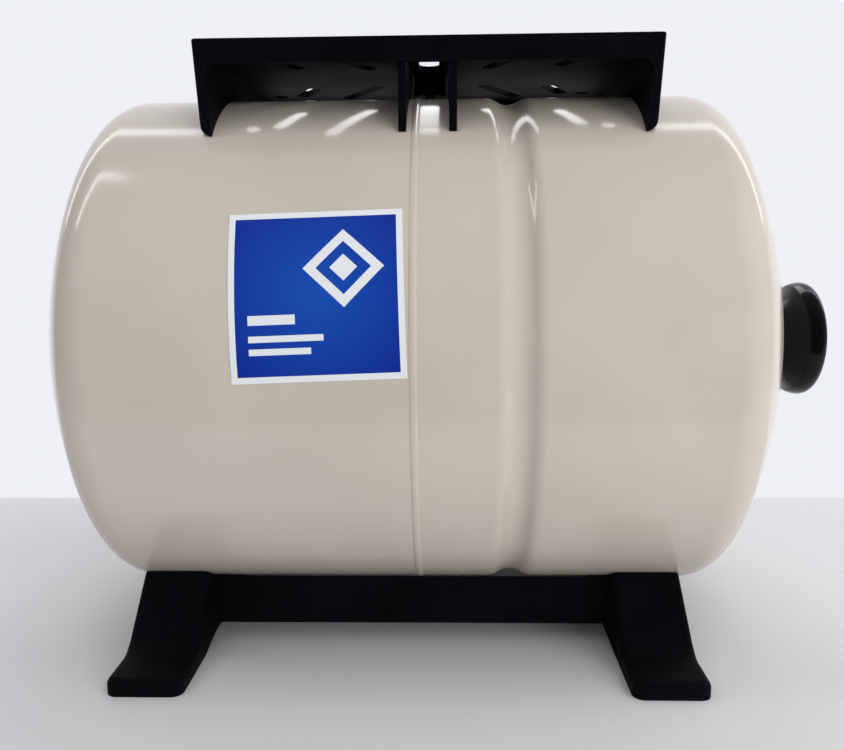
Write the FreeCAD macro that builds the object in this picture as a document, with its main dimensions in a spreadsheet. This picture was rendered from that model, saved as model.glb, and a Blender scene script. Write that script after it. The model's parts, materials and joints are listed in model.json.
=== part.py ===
import FreeCAD, Part
import math
import os
import re

import Sketcher

# Well pressure tank: a steel vessel lying on a moulded base, with a moulded pump bracket on top.
# Row frame: X along the vessel, water connection at -X, air valve at +X; -Y is the front with the
# label; Z is up from the floor. Most pieces are drawn about the vessel's own axis, with X = 0
# midway between the two heads, and their placement then lifts them to the axis height.

DIMENSIONS = {
    # Steel vessel: two drawn halves with crowned heads
    "tank_radius": 145.0,
    "shell_wall": 1.5,
    "head_start": 152.0,
    "knuckle_radius": 23.0,
    "crown_radius": 260.0,
    "port_seat_radius": 30.0,
    "valve_seat_radius": 21.0,
    # Weld bead and the lap under it
    "weld_shift": 1.8,
    "bead_half": 2.0,
    "bead_height": 0.6,
    "bead_gap": 0.02,
    "lap_length": 8.0,
    "lap_gap": 0.1,
    "joggle_run": 4.0,
    "rim_gap": 0.2,
    # Rolled groove
    "groove_place": 53.0,
    "groove_half": 12.5,
    "groove_depth": 4.0,
    # Liner, diaphragm and clench ring
    "liner_gap": 0.3,
    "liner_wall": 1.0,
    "liner_step": 2.5,
    "diaphragm_gap": 0.3,
    "diaphragm_wall": 1.8,
    "diaphragm_standoff": 12.4,
    "rim_bead_width": 5.0,
    "rim_bead_height": 3.7,
    "rim_bead_clearance": 1.0,
    "ring_half": 8.0,
    "ring_wall": 1.5,
    "ring_gap": 0.1,
    # Water connection, male thread of one inch
    "port_radius": 16.6,
    "port_bore": 12.0,
    "port_hole": 17.0,
    "port_reach": 22.0,
    "port_tail": 4.0,
    "port_flange": 28.0,
    "port_flange_wall": 3.0,
    "port_gasket": 2.0,
    "port_nut_flats": 46.0,
    "port_nut_height": 7.0,
    "port_nut_bore": 16.8,
    "relief_gap": 0.5,
    "relief_width": 1.5,
    "relief_depth": 1.3,
    "edge_chamfer": 1.0,
    # Air valve
    "boss_radius": 15.0,
    "boss_bore": 9.5,
    "boss_height": 12.0,
    "stem_flange": 11.0,
    "stem_flange_wall": 2.0,
    "stem_gasket": 1.5,
    "stem_radius": 6.0,
    "stem_hole": 6.3,
    "stem_shoulder": 7.0,
    "stem_tip_radius": 3.85,
    "stem_height": 24.0,
    "stem_bore": 2.6,
    "stem_bore_floor": 4.0,
    "stem_passage": 1.0,
    "stem_nut_flats": 14.0,
    "stem_nut_height": 5.0,
    "stem_nut_bore": 6.1,
    "core_gap": 0.05,
    "core_low": 12.0,
    "core_high": 20.0,
    "core_bore": 1.15,
    "pin_radius": 0.8,
    "pin_low": 8.0,
    "pin_high": 23.0,
    "poppet_radius": 1.9,
    "poppet_height": 1.4,
    "poppet_gap": 0.1,
    "spring_radius": 1.5,
    "spring_wire": 0.25,
    "spring_turns": 4.0,
    "spring_gap": 0.1,
    # Mushroom cap, measured outward from the valve's seat on the head
    "cap_lip": 2.8,
    "cap_neck_radius": 19.0,
    "cap_neck_top": 7.0,
    "cap_flare_radius": 33.0,
    "cap_flare_place": 22.5,
    "cap_flare_bend": 24.0,
    "cap_rim_radius": 34.8,
    "cap_rim_place": 28.5,
    "cap_edge_radius": 31.0,
    "cap_edge_place": 34.0,
    "cap_height": 37.0,
    "cap_thread_gap": 0.4,
    "cap_thread_depth": 13.5,
    "cap_well_radius": 9.0,
    "cap_well_depth": 29.0,
    "seal_gap": 0.3,
    "seal_width": 3.2,
    # Pump bracket on top of the vessel
    "bracket_place": 8.3,
    "bracket_half_length": 119.2,
    "bracket_half_width": 88.8,
    "deck_rise": 18.3,
    "deck_wall": 4.0,
    "lip_height": 12.3,
    "lip_wall": 4.0,
    "end_wall": 5.0,
    "end_draft": 3.6,
    "rib_wall": 4.0,
    "rib_place": 13.0,
    "rib_setback": 2.5,
    "saddle_gap": 0.3,
    "tip_round": 3.5,
    "corner_round": 2.5,
    "bay_round": 5.0,
    "deck_edge_round": 0.8,
    "centre_slot_half": 5.75,
    "centre_slot_near": 19.0,
    "centre_slot_inset": 21.8,
    "slant_slot_half": 4.5,
    "inner_slant_near_x": 34.2,
    "inner_slant_near_y": 29.0,
    "inner_slant_far_x": 55.8,
    "inner_slant_inset_y": 22.8,
    "outer_slant_near_inset_x": 44.2,
    "outer_slant_near_y": 34.0,
    "outer_slant_far_inset_x": 33.2,
    "outer_slant_inset_y": 32.8,
    "deck_hole_inset_x": 18.2,
    "deck_hole_inset_y": 29.8,
    "deck_hole_radius": 4.5,
    "nut_boss_radius": 9.5,
    "nut_boss_stand": 3.0,
    "nut_pocket_radius": 7.5,
    "nut_pocket_depth": 10.3,
    # Moulded base under the vessel
    "base_place": -3.7,
    "belly_clearance": 21.5,
    "base_half_length": 154.0,
    "foot_length": 44.4,
    "foot_inset": 3.0,
    "saddle_side": 78.0,
    "leg_bend": 14.0,
    "toe_height": 9.0,
    "toe_reach": 135.8,
    "toe_length": 24.8,
    "toe_round": 4.0,
    "toe_corner_round": 6.0,
    "foot_depth": 43.8,
    "web_floor_gap": 10.0,
    "web_run": 8.0,
    "beam_top_y": 68.0,
    "beam_lean": 6.0,
    "beam_floor_gap": 11.5,
    "beam_wall": 5.0,
    "foot_recess": 5.0,
    "foot_wall": 4.0,
    # Fasteners that hold the bracket and the base on welded studs
    "stud_radius": 3.0,
    "stud_hole": 3.4,
    "stud_seat_gap": 0.05,
    "washer_radius": 6.5,
    "washer_wall": 1.2,
    "nut_flats": 10.0,
    "nut_height": 5.0,
    "nut_bore": 3.1,
    "stud_end": 1.5,
    # Label
    "label_size": 82.0,
    "label_place": -43.0,
    "label_face_angle": 15.2,
    "label_tilt_angle": 1.9,
    "label_wall": 0.3,
    "label_gap": 0.1,
}

doc = FreeCAD.newDocument("well_pressure_tank")
sheet = doc.addObject("Spreadsheet::Sheet", "dims")
sheet.Label = "driving dimensions"
for row, (alias, number) in enumerate(DIMENSIONS.items(), 1):
    sheet.set(f"A{row}", alias)
    sheet.set(f"B{row}", str(number))
    sheet.setAlias(f"B{row}", alias)
doc.recompute()

ALIAS = re.compile(r"\b(" + "|".join(DIMENSIONS) + r")\b")
ALONG_X = FreeCAD.Vector(1, 0, 0)
ALONG_Y = FreeCAD.Vector(0, 1, 0)
ALONG_Z = FreeCAD.Vector(0, 0, 1)
SMALL_CUT = 0.001
subparts = []


def bound(formula):
    """The formula with each driving dimension named as a cell of the sheet."""
    return ALIAS.sub(r"dims.\1", formula)


def value(formula):
    """The formula's present value in millimetres or degrees."""
    return float(sheet.evalExpression(bound(formula)))


def tie(feature, prop, formula):
    feature.setExpression(prop, bound(formula))


# Places that several pieces share, as formulas of the driving dimensions

CROWN_SPAN = "sqrt((crown_radius - knuckle_radius)^2 - (tank_radius - knuckle_radius)^2)"
CROWN_CENTRE = f"(head_start - {CROWN_SPAN})"
PORT_SEAT = f"({CROWN_CENTRE} + sqrt(crown_radius^2 - port_seat_radius^2))"
VALVE_SEAT = f"({CROWN_CENTRE} + sqrt(crown_radius^2 - valve_seat_radius^2))"
MIDDLE = f"(({PORT_SEAT} + port_reach) - ({VALVE_SEAT} + cap_height)) / 2"
AXIS_HEIGHT = "(tank_radius + belly_clearance)"
DECK_HEIGHT = "(tank_radius + deck_rise)"
SADDLE = "(tank_radius + saddle_gap)"
FOOT_INNER = "(base_half_length - foot_length)"
GROOVE_ROLL = "((groove_half^2 + groove_depth^2) / (4 * groove_depth))"
LAP_RADIUS = "(tank_radius - shell_wall - lap_gap)"
SKIRT = "(tank_radius - groove_depth - shell_wall - diaphragm_gap)"


# Sketches: each corner's two coordinates and each arc's radius are bound to the sheet


class Arc:
    """The edge that leaves a corner as an arc, turning left or right on its way to the next.

    A half circle is held by its centre, because its radius follows from its two ends.
    """

    def __init__(self, radius, centre_x, centre_y, left, half_circle=False):
        self.radius = radius
        self.centre = (centre_x, centre_y)
        self.left = left
        self.half_circle = half_circle


def pin_coordinate(sketch, kind, geometry, end, formula):
    axis = -2 if kind == "DistanceX" else -1
    if formula == "0":
        sketch.addConstraint(Sketcher.Constraint("PointOnObject", geometry, end, axis))
        return
    place = sketch.addConstraint(Sketcher.Constraint(kind, geometry, end, value(formula)))
    tie(sketch, f"Constraints[{place}]", formula)


def draw_loop(sketch, corners):
    """Draws a closed outline from corners (x, y) or (x, y, Arc) and binds its sizes."""
    places = [FreeCAD.Vector(value(corner[0]), value(corner[1]), 0) for corner in corners]
    ends = []
    for number, corner in enumerate(corners):
        start = places[number]
        finish = places[(number + 1) % len(corners)]
        if len(corner) == 2:
            edge = sketch.addGeometry(Part.LineSegment(start, finish))
            ends.append((edge, 1, 2))
            continue
        arc = corner[2]
        centre = FreeCAD.Vector(value(arc.centre[0]), value(arc.centre[1]), 0)
        first, last = (start, finish) if arc.left else (finish, start)
        turn = [math.atan2(place.y - centre.y, place.x - centre.x) for place in (first, last)]
        if turn[1] <= turn[0]:
            turn[1] += 2 * math.pi
        circle = Part.Circle(centre, FreeCAD.Vector(0, 0, 1), value(arc.radius))
        edge = sketch.addGeometry(Part.ArcOfCircle(circle, turn[0], turn[1]))
        ends.append((edge, 1, 2) if arc.left else (edge, 2, 1))
    for number, corner in enumerate(corners):
        edge, head, _ = ends[number]
        before, _, tail = ends[number - 1]
        sketch.addConstraint(Sketcher.Constraint("Coincident", before, tail, edge, head))
        pin_coordinate(sketch, "DistanceX", edge, head, corner[0])
        pin_coordinate(sketch, "DistanceY", edge, head, corner[1])
    for number, corner in enumerate(corners):
        if len(corner) == 2:
            continue
        edge, arc = ends[number][0], corner[2]
        if arc.half_circle:
            chord = places[(number + 1) % len(corners)] - places[number]
            across = abs(chord.y) > abs(chord.x)
            kind = "DistanceX" if across else "DistanceY"
            pin_coordinate(sketch, kind, edge, 3, arc.centre[0 if across else 1])
            continue
        place = sketch.addConstraint(Sketcher.Constraint("Radius", edge, value(arc.radius)))
        tie(sketch, f"Constraints[{place}]", arc.radius)


def draw_circle(sketch, centre_x, centre_y, radius):
    middle = FreeCAD.Vector(value(centre_x), value(centre_y), 0)
    edge = sketch.addGeometry(Part.Circle(middle, FreeCAD.Vector(0, 0, 1), value(radius)))
    pin_coordinate(sketch, "DistanceX", edge, 3, centre_x)
    pin_coordinate(sketch, "DistanceY", edge, 3, centre_y)
    place = sketch.addConstraint(Sketcher.Constraint("Radius", edge, value(radius)))
    tie(sketch, f"Constraints[{place}]", radius)


def new_body(node):
    body = doc.addObject("PartDesign::Body", node)
    body.Label = node
    subparts.append(body)
    return body


def new_sketch(body, name, role, loops=(), circles=(), shift=None):
    """A sketch on one of the body's own origin planes, moved along its normal by shift."""
    sketch = body.newObject("Sketcher::SketchObject", name)
    plane = next(feature for feature in body.Origin.OriginFeatures if feature.Role == role)
    sketch.AttachmentSupport = [(plane, "")]
    sketch.MapMode = "FlatFace"
    if shift:
        tie(sketch, "AttachmentOffset.Base.z", shift)
    for corners in loops:
        draw_loop(sketch, corners)
    for circle in circles:
        draw_circle(sketch, *circle)
    doc.recompute()
    return sketch


def turned(node, loops, facing=1, along="0"):
    """A piece turned about the vessel's axis; facing -1 points it at the water connection."""
    body = new_body(node)
    sketch = new_sketch(body, node + "_outline", "XZ_Plane", loops)
    turn = body.newObject("PartDesign::Revolution", node + "_turn")
    turn.Profile = sketch
    turn.ReferenceAxis = (sketch, ["H_Axis"])
    turn.Angle = 360
    if facing < 0:
        half_turn = FreeCAD.Rotation(FreeCAD.Vector(0, 0, 1), 180)
        body.Placement = FreeCAD.Placement(FreeCAD.Vector(), half_turn)
    set_down(body, along)
    doc.recompute()
    return body


def set_down(feature, along="0"):
    """Places a piece that is drawn about the vessel's axis and middle."""
    tie(feature, "Placement.Base.x", f"{MIDDLE} + {along}")
    tie(feature, "Placement.Base.z", AXIS_HEIGHT)


def pad(body, sketch, length, both_ways=False):
    feature = body.newObject("PartDesign::Pad", sketch.Name + "_pad")
    feature.Profile = sketch
    tie(feature, "Length", length)
    feature.Midplane = both_ways
    doc.recompute()


def pocket(body, sketch, length, backwards=False, both_ways=False):
    """Cuts the sketch away, and checks that the cut does take material."""
    before = body.Shape.Volume
    feature = body.newObject("PartDesign::Pocket", sketch.Name + "_cut")
    feature.Profile = sketch
    tie(feature, "Length", length)
    feature.Midplane = both_ways
    feature.Reversed = backwards
    doc.recompute()
    if not body.Shape.Volume < before - SMALL_CUT:
        raise RuntimeError(sketch.Name + " cuts nothing")


def round_edges(body, name, radius, wanted):
    """Fillets the edges of the body's tip that the wanted test picks."""
    tip = body.Tip
    names = [f"Edge{n}" for n, edge in enumerate(tip.Shape.Edges, 1) if wanted(edge)]
    if not names:
        raise RuntimeError(name + " finds no edge")
    fillet = body.newObject("PartDesign::Fillet", name)
    fillet.Base = (tip, names)
    tie(fillet, "Radius", radius)
    doc.recompute()


def runs_along(edge, direction):
    if edge.Curve.TypeId != "Part::GeomLine":
        return False
    return abs(edge.tangentAt(edge.FirstParameter).dot(direction)) > 0.999


def near(a, b, slack=0.05):
    return abs(a - b) < slack


def in_level(edge, height):
    """True for an edge that lies in the horizontal plane at that height."""
    return near(edge.BoundBox.ZMin, height) and near(edge.BoundBox.ZMax, height)


# Crowned head: the same knuckle and crown, offset inward for each layer of the vessel


def head_out(inset, seat):
    """Corners from the end of the straight wall, over knuckle and crown, to a flat seat."""
    crown = f"(crown_radius - ({inset}))"
    blend_x = f"{CROWN_CENTRE} + {crown} * {CROWN_SPAN} / (crown_radius - knuckle_radius)"
    blend_y = f"{crown} * (tank_radius - knuckle_radius) / (crown_radius - knuckle_radius)"
    seat_edge = f"sqrt({crown}^2 - ({seat} - {CROWN_CENTRE})^2)"
    knuckle = f"knuckle_radius - ({inset})"
    return [
        ("head_start", f"tank_radius - ({inset})",
         Arc(knuckle, "head_start", "tank_radius - knuckle_radius", left=False)),
        (blend_x, blend_y, Arc(crown, CROWN_CENTRE, "0", left=False)),
        (seat, seat_edge),
    ]


def head_back(inset, seat):
    """The same corners in the other direction, for the inside of the wall."""
    start, blend, end = head_out(inset, seat)
    return [
        (end[0], end[1], Arc(blend[2].radius, *blend[2].centre, left=True)),
        (blend[0], blend[1], Arc(start[2].radius, *start[2].centre, left=True)),
        (start[0], start[1]),
    ]


# Water half, with the weld bead over the joint


def make_water_shell():
    bead_roll = "((bead_half^2 + bead_height^2) / (2 * bead_height))"
    bead_centre = f"tank_radius + bead_height - {bead_roll}"
    outline = [
        ("-weld_shift", "tank_radius - shell_wall"),
        ("-weld_shift", "tank_radius + bead_gap"),
        ("-weld_shift - bead_half", "tank_radius + bead_gap",
         Arc(bead_roll, "-weld_shift", bead_centre, left=False)),
        ("bead_half - weld_shift", "tank_radius"),
        *head_out("0", PORT_SEAT),
        (PORT_SEAT, "port_hole"),
        (f"{PORT_SEAT} - shell_wall", "port_hole"),
        *head_back("shell_wall", f"({PORT_SEAT} - shell_wall)"),
    ]
    turned("water_shell", [outline], facing=-1)


# Air half, with a joggled rim under the weld and the groove that clenches the diaphragm


def make_air_shell():
    roll_in = f"({GROOVE_ROLL} - shell_wall)"
    roll_out = f"({GROOVE_ROLL} + shell_wall)"
    bottom = f"tank_radius - groove_depth + {GROOVE_ROLL}"
    shoulder = f"tank_radius - {GROOVE_ROLL}"
    left_shoulder = "groove_place - groove_half"
    right_shoulder = "groove_place + groove_half"
    lean = f"{roll_in} * groove_half / (2 * {GROOVE_ROLL})"
    inner_flank = f"{shoulder} + {roll_in} * (1 - groove_depth / (2 * {GROOVE_ROLL}))"
    inner_lap = f"{LAP_RADIUS} - shell_wall"
    outline = [
        ("weld_shift - lap_length", LAP_RADIUS),
        ("weld_shift + rim_gap", LAP_RADIUS),
        ("weld_shift + rim_gap", "tank_radius"),
        (left_shoulder, "tank_radius", Arc(GROOVE_ROLL, left_shoulder, shoulder, left=False)),
        ("groove_place - groove_half / 2", "tank_radius - groove_depth / 2",
         Arc(GROOVE_ROLL, "groove_place", bottom, left=True)),
        ("groove_place + groove_half / 2", "tank_radius - groove_depth / 2",
         Arc(GROOVE_ROLL, right_shoulder, shoulder, left=False)),
        (right_shoulder, "tank_radius"),
        *head_out("0", VALVE_SEAT),
        (VALVE_SEAT, "stem_hole"),
        (f"{VALVE_SEAT} - shell_wall", "stem_hole"),
        *head_back("shell_wall", f"({VALVE_SEAT} - shell_wall)"),
        (right_shoulder, "tank_radius - shell_wall",
         Arc(roll_in, right_shoulder, shoulder, left=True)),
        (f"{right_shoulder} - {lean}", inner_flank,
         Arc(roll_out, "groove_place", bottom, left=False)),
        (f"{left_shoulder} + {lean}", inner_flank,
         Arc(roll_in, left_shoulder, shoulder, left=True)),
        (left_shoulder, "tank_radius - shell_wall"),
        ("weld_shift + joggle_run + bead_half", "tank_radius - shell_wall"),
        ("weld_shift + bead_half", inner_lap),
        ("weld_shift - lap_length", inner_lap),
    ]
    turned("air_shell", [outline])


# Plastic liner of the water half, stepped down where it passes the joggled rim


def make_liner():
    outside = "shell_wall + liner_gap"
    inside = "shell_wall + liner_gap + liner_wall"
    narrow = f"{LAP_RADIUS} - shell_wall - liner_gap"
    mouth = "-(groove_place - groove_half)"
    step = "lap_length + liner_step"
    seat = f"({PORT_SEAT} - shell_wall - liner_gap)"
    outline = [
        (mouth, f"{narrow} - liner_wall"),
        (mouth, narrow),
        (step, narrow),
        (f"{step} + liner_step", f"tank_radius - ({outside})"),
        *head_out(outside, seat),
        (seat, "port_hole"),
        (f"{seat} - liner_wall", "port_hole"),
        *head_back(inside, f"({seat} - liner_wall)"),
        (f"{step} + liner_step", f"tank_radius - ({inside})"),
        (step, f"{narrow} - liner_wall"),
    ]
    turned("liner", [outline], facing=-1)


# Diaphragm: a rim bead behind the groove, a skirt under it and a dome drawn over to the water side


def make_diaphragm():
    inset = f"tank_radius - {SKIRT}"
    floor = f"({PORT_SEAT} - diaphragm_standoff)"
    inner_floor = f"({PORT_SEAT} - diaphragm_standoff - diaphragm_wall)"
    bead_near = "-(groove_place + groove_half - rim_bead_clearance)"
    bead_far = f"{bead_near} - rim_bead_width"
    outline = [
        (bead_far, f"{SKIRT} - diaphragm_wall"),
        (bead_far, f"{SKIRT} + rim_bead_height"),
        (bead_near, f"{SKIRT} + rim_bead_height"),
        (bead_near, SKIRT),
        *head_out(inset, floor),
        (floor, "0"),
        (inner_floor, "0"),
        *head_back(f"{inset} + diaphragm_wall", inner_floor),
    ]
    turned("diaphragm", [outline], facing=-1)


def make_clench_ring():
    outside = f"{SKIRT} - diaphragm_wall - ring_gap"
    inside = f"{outside} - ring_wall"
    left = "groove_place - ring_half"
    right = "groove_place + ring_half"
    outline = [(left, inside), (left, outside), (right, outside), (right, inside)]
    turned("clench_ring", [outline])


# Water connection: nipple with an inside flange, its gasket, and the nut outside


def ring(left, right, inside, outside):
    return [(left, inside), (left, outside), (right, outside), (right, inside)]


def make_water_connection():
    gasket_top = f"({PORT_SEAT} - shell_wall - liner_gap - liner_wall)"
    gasket_foot = f"({gasket_top} - port_gasket)"
    flange_foot = f"({gasket_foot} - port_flange_wall)"
    tip = f"({PORT_SEAT} + port_reach)"
    relief = f"{PORT_SEAT} + port_nut_height + relief_gap"
    outline = [
        (f"{flange_foot} - port_tail", "port_bore"),
        (f"{flange_foot} - port_tail", "port_radius"),
        (flange_foot, "port_radius"),
        (flange_foot, "port_flange"),
        (gasket_foot, "port_flange"),
        (gasket_foot, "port_radius"),
        (relief, "port_radius"),
        (relief, "port_radius - relief_depth"),
        (f"{relief} + relief_width", "port_radius - relief_depth"),
        (f"{relief} + relief_width", "port_radius"),
        (f"{tip} - edge_chamfer", "port_radius"),
        (tip, "port_radius - edge_chamfer"),
        (tip, "port_bore"),
    ]
    turned("water_connection", [outline], facing=-1)
    gasket = ring(gasket_foot, gasket_top, "port_hole", "port_flange - edge_chamfer")
    turned("connection_gasket", [gasket], facing=-1)


# Air valve: boss for the cap, stem with inside flange, and the sprung core


def make_air_valve():
    boss_top = f"{VALVE_SEAT} + boss_height"
    boss = [
        (VALVE_SEAT, "boss_bore"),
        (VALVE_SEAT, "boss_radius"),
        (f"{boss_top} - edge_chamfer", "boss_radius"),
        (boss_top, "boss_radius - edge_chamfer"),
        (boss_top, "boss_bore"),
    ]
    turned("valve_boss", [boss])

    gasket_foot = f"{VALVE_SEAT} - shell_wall - stem_gasket"
    flange_foot = f"{gasket_foot} - stem_flange_wall"
    stem = [
        (flange_foot, "stem_passage"),
        (flange_foot, "stem_flange"),
        (gasket_foot, "stem_flange"),
        (gasket_foot, "stem_radius"),
        (f"{VALVE_SEAT} + stem_shoulder", "stem_radius"),
        (f"{VALVE_SEAT} + stem_shoulder", "stem_tip_radius"),
        (f"{VALVE_SEAT} + stem_height", "stem_tip_radius"),
        (f"{VALVE_SEAT} + stem_height", "stem_bore"),
        (f"{VALVE_SEAT} + stem_bore_floor", "stem_bore"),
        (f"{VALVE_SEAT} + stem_bore_floor", "stem_passage"),
    ]
    turned("valve_stem", [stem])
    gasket = ring(gasket_foot, f"{VALVE_SEAT} - shell_wall", "stem_nut_bore", "stem_flange")
    turned("valve_gasket", [gasket])

    core = ring(f"{VALVE_SEAT} + core_low", f"{VALVE_SEAT} + core_high",
                "core_bore", "stem_bore - core_gap")
    turned("valve_core_body", [core])
    poppet_top = f"{VALVE_SEAT} + core_low - poppet_gap"
    pin = [
        (f"{VALVE_SEAT} + pin_low", "0"),
        (f"{VALVE_SEAT} + pin_low", "pin_radius"),
        (f"{poppet_top} - poppet_height", "pin_radius"),
        (f"{poppet_top} - poppet_height", "poppet_radius"),
        (poppet_top, "poppet_radius"),
        (poppet_top, "pin_radius"),
        (f"{VALVE_SEAT} + pin_high", "pin_radius"),
        (f"{VALVE_SEAT} + pin_high", "0"),
    ]
    turned("valve_core_pin", [pin])


def make_core_spring():
    """A small coil between the floor of the stem's bore and the poppet."""
    low = "stem_bore_floor + spring_gap + spring_wire"
    high = "core_low - poppet_gap - poppet_height - spring_gap - spring_wire"
    coil = doc.addObject("Part::Helix", "spring_coil")
    tie(coil, "Radius", "spring_radius")
    tie(coil, "Height", f"({high}) - ({low})")
    tie(coil, "Pitch", f"(({high}) - ({low})) / spring_turns")
    wire = doc.addObject("Part::Circle", "spring_wire_outline")
    tie(wire, "Radius", "spring_wire")
    wire.Placement = FreeCAD.Placement(FreeCAD.Vector(), FreeCAD.Rotation(ALONG_Z, ALONG_Y))
    tie(wire, "Placement.Base.x", "spring_radius")
    spring = doc.addObject("Part::Sweep", "valve_core_spring")
    spring.Label = "valve_core_spring"
    spring.Sections = [wire]
    spring.Spine = (coil, [])
    spring.Solid = True
    spring.Frenet = True
    spring.Placement = FreeCAD.Placement(FreeCAD.Vector(), FreeCAD.Rotation(ALONG_Z, ALONG_X))
    set_down(spring, f"{VALVE_SEAT} + {low}")
    doc.recompute()
    subparts.append(spring)


# Mushroom cap and its seal


def make_air_cap():
    lip = f"{VALVE_SEAT} + cap_lip"
    neck = f"{VALVE_SEAT} + cap_neck_top"
    flare = f"{VALVE_SEAT} + cap_flare_place"
    rim = f"{VALVE_SEAT} + cap_rim_place"
    edge = f"{VALVE_SEAT} + cap_edge_place"
    top = f"{VALVE_SEAT} + cap_height"
    inside = "boss_radius + cap_thread_gap"
    thread_end = f"{VALVE_SEAT} + cap_thread_depth"
    well_end = f"{VALVE_SEAT} + cap_well_depth"
    rim_roll = "((cap_edge_place - cap_rim_place)^2 + (cap_rim_radius - cap_edge_radius)^2)" \
               " / (2 * (cap_rim_radius - cap_edge_radius))"
    rise = "(cap_height - cap_edge_place)"
    dome = f"((cap_edge_radius^2 + {rise}^2) / (2 * {rise}))"
    flare_span = "sqrt((cap_flare_place - cap_neck_top)^2 + (cap_flare_radius - cap_neck_radius)^2)"
    flare_sag = f"sqrt(cap_flare_bend^2 - ({flare_span} / 2)^2)"
    middle_x = f"({neck} + ({flare})) / 2"
    middle_y = "(cap_neck_radius + cap_flare_radius) / 2"
    bend_x = f"{middle_x} - {flare_sag} * (cap_flare_radius - cap_neck_radius) / {flare_span}"
    bend_y = f"{middle_y} + {flare_sag} * (cap_flare_place - cap_neck_top) / {flare_span}"
    shoulder_roll = "((cap_rim_place - cap_flare_place)^2 + (cap_rim_radius - cap_flare_radius)^2)" \
                    " / (2 * (cap_rim_radius - cap_flare_radius))"
    outline = [
        (lip, inside),
        (lip, "cap_neck_radius"),
        (neck, "cap_neck_radius", Arc("cap_flare_bend", bend_x, bend_y, left=True)),
        (flare, "cap_flare_radius",
         Arc(shoulder_roll, rim, f"cap_rim_radius - ({shoulder_roll})", left=False)),
        (rim, "cap_rim_radius", Arc(rim_roll, rim, f"cap_rim_radius - ({rim_roll})", left=False)),
        (edge, "cap_edge_radius", Arc(dome, f"{top} - {dome}", "0", left=False)),
        (top, "0"),
        (well_end, "0"),
        (well_end, "cap_well_radius"),
        (thread_end, "cap_well_radius"),
        (thread_end, inside),
    ]
    turned("air_cap", [outline])
    seal = ring(f"{VALVE_SEAT} + seal_gap", f"{VALVE_SEAT} + cap_lip - seal_gap",
                "boss_radius + seal_gap", "boss_radius + seal_gap + seal_width")
    turned("cap_seal_ring", [seal])


# Pump bracket: slotted deck with lips, and walls whose lower edges follow the vessel


def saddle_wall(half_width):
    """A wall across the vessel, from the deck's top down to the vessel's side."""
    tip = f"sqrt({SADDLE}^2 - ({half_width})^2)"
    return [
        (f"-({half_width})", DECK_HEIGHT),
        (f"-({half_width})", tip, Arc(SADDLE, "0", "0", left=False)),
        (half_width, tip),
        (half_width, DECK_HEIGHT),
    ]


def slot_loop(near_x, near_y, far_x, far_y, half, side_x, side_y):
    """A round-ended slot between two points of one quarter of the deck."""
    reach = f"sqrt(({far_x} - {near_x})^2 + ({far_y} - {near_y})^2)"
    across_x = f"({side_y}) * {half} * ({far_y} - {near_y}) / {reach}"
    across_y = f"({side_x}) * {half} * ({far_x} - {near_x}) / {reach}"
    x1, y1 = f"({side_x}) * {near_x}", f"({side_y}) * {near_y}"
    x2, y2 = f"({side_x}) * {far_x}", f"({side_y}) * {far_y}"
    return [
        (f"{x1} - {across_x}", f"{y1} + {across_y}", Arc(half, x1, y1, left=True, half_circle=True)),
        (f"{x1} + {across_x}", f"{y1} - {across_y}"),
        (f"{x2} + {across_x}", f"{y2} - {across_y}", Arc(half, x2, y2, left=True, half_circle=True)),
        (f"{x2} - {across_x}", f"{y2} + {across_y}"),
    ]


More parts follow.
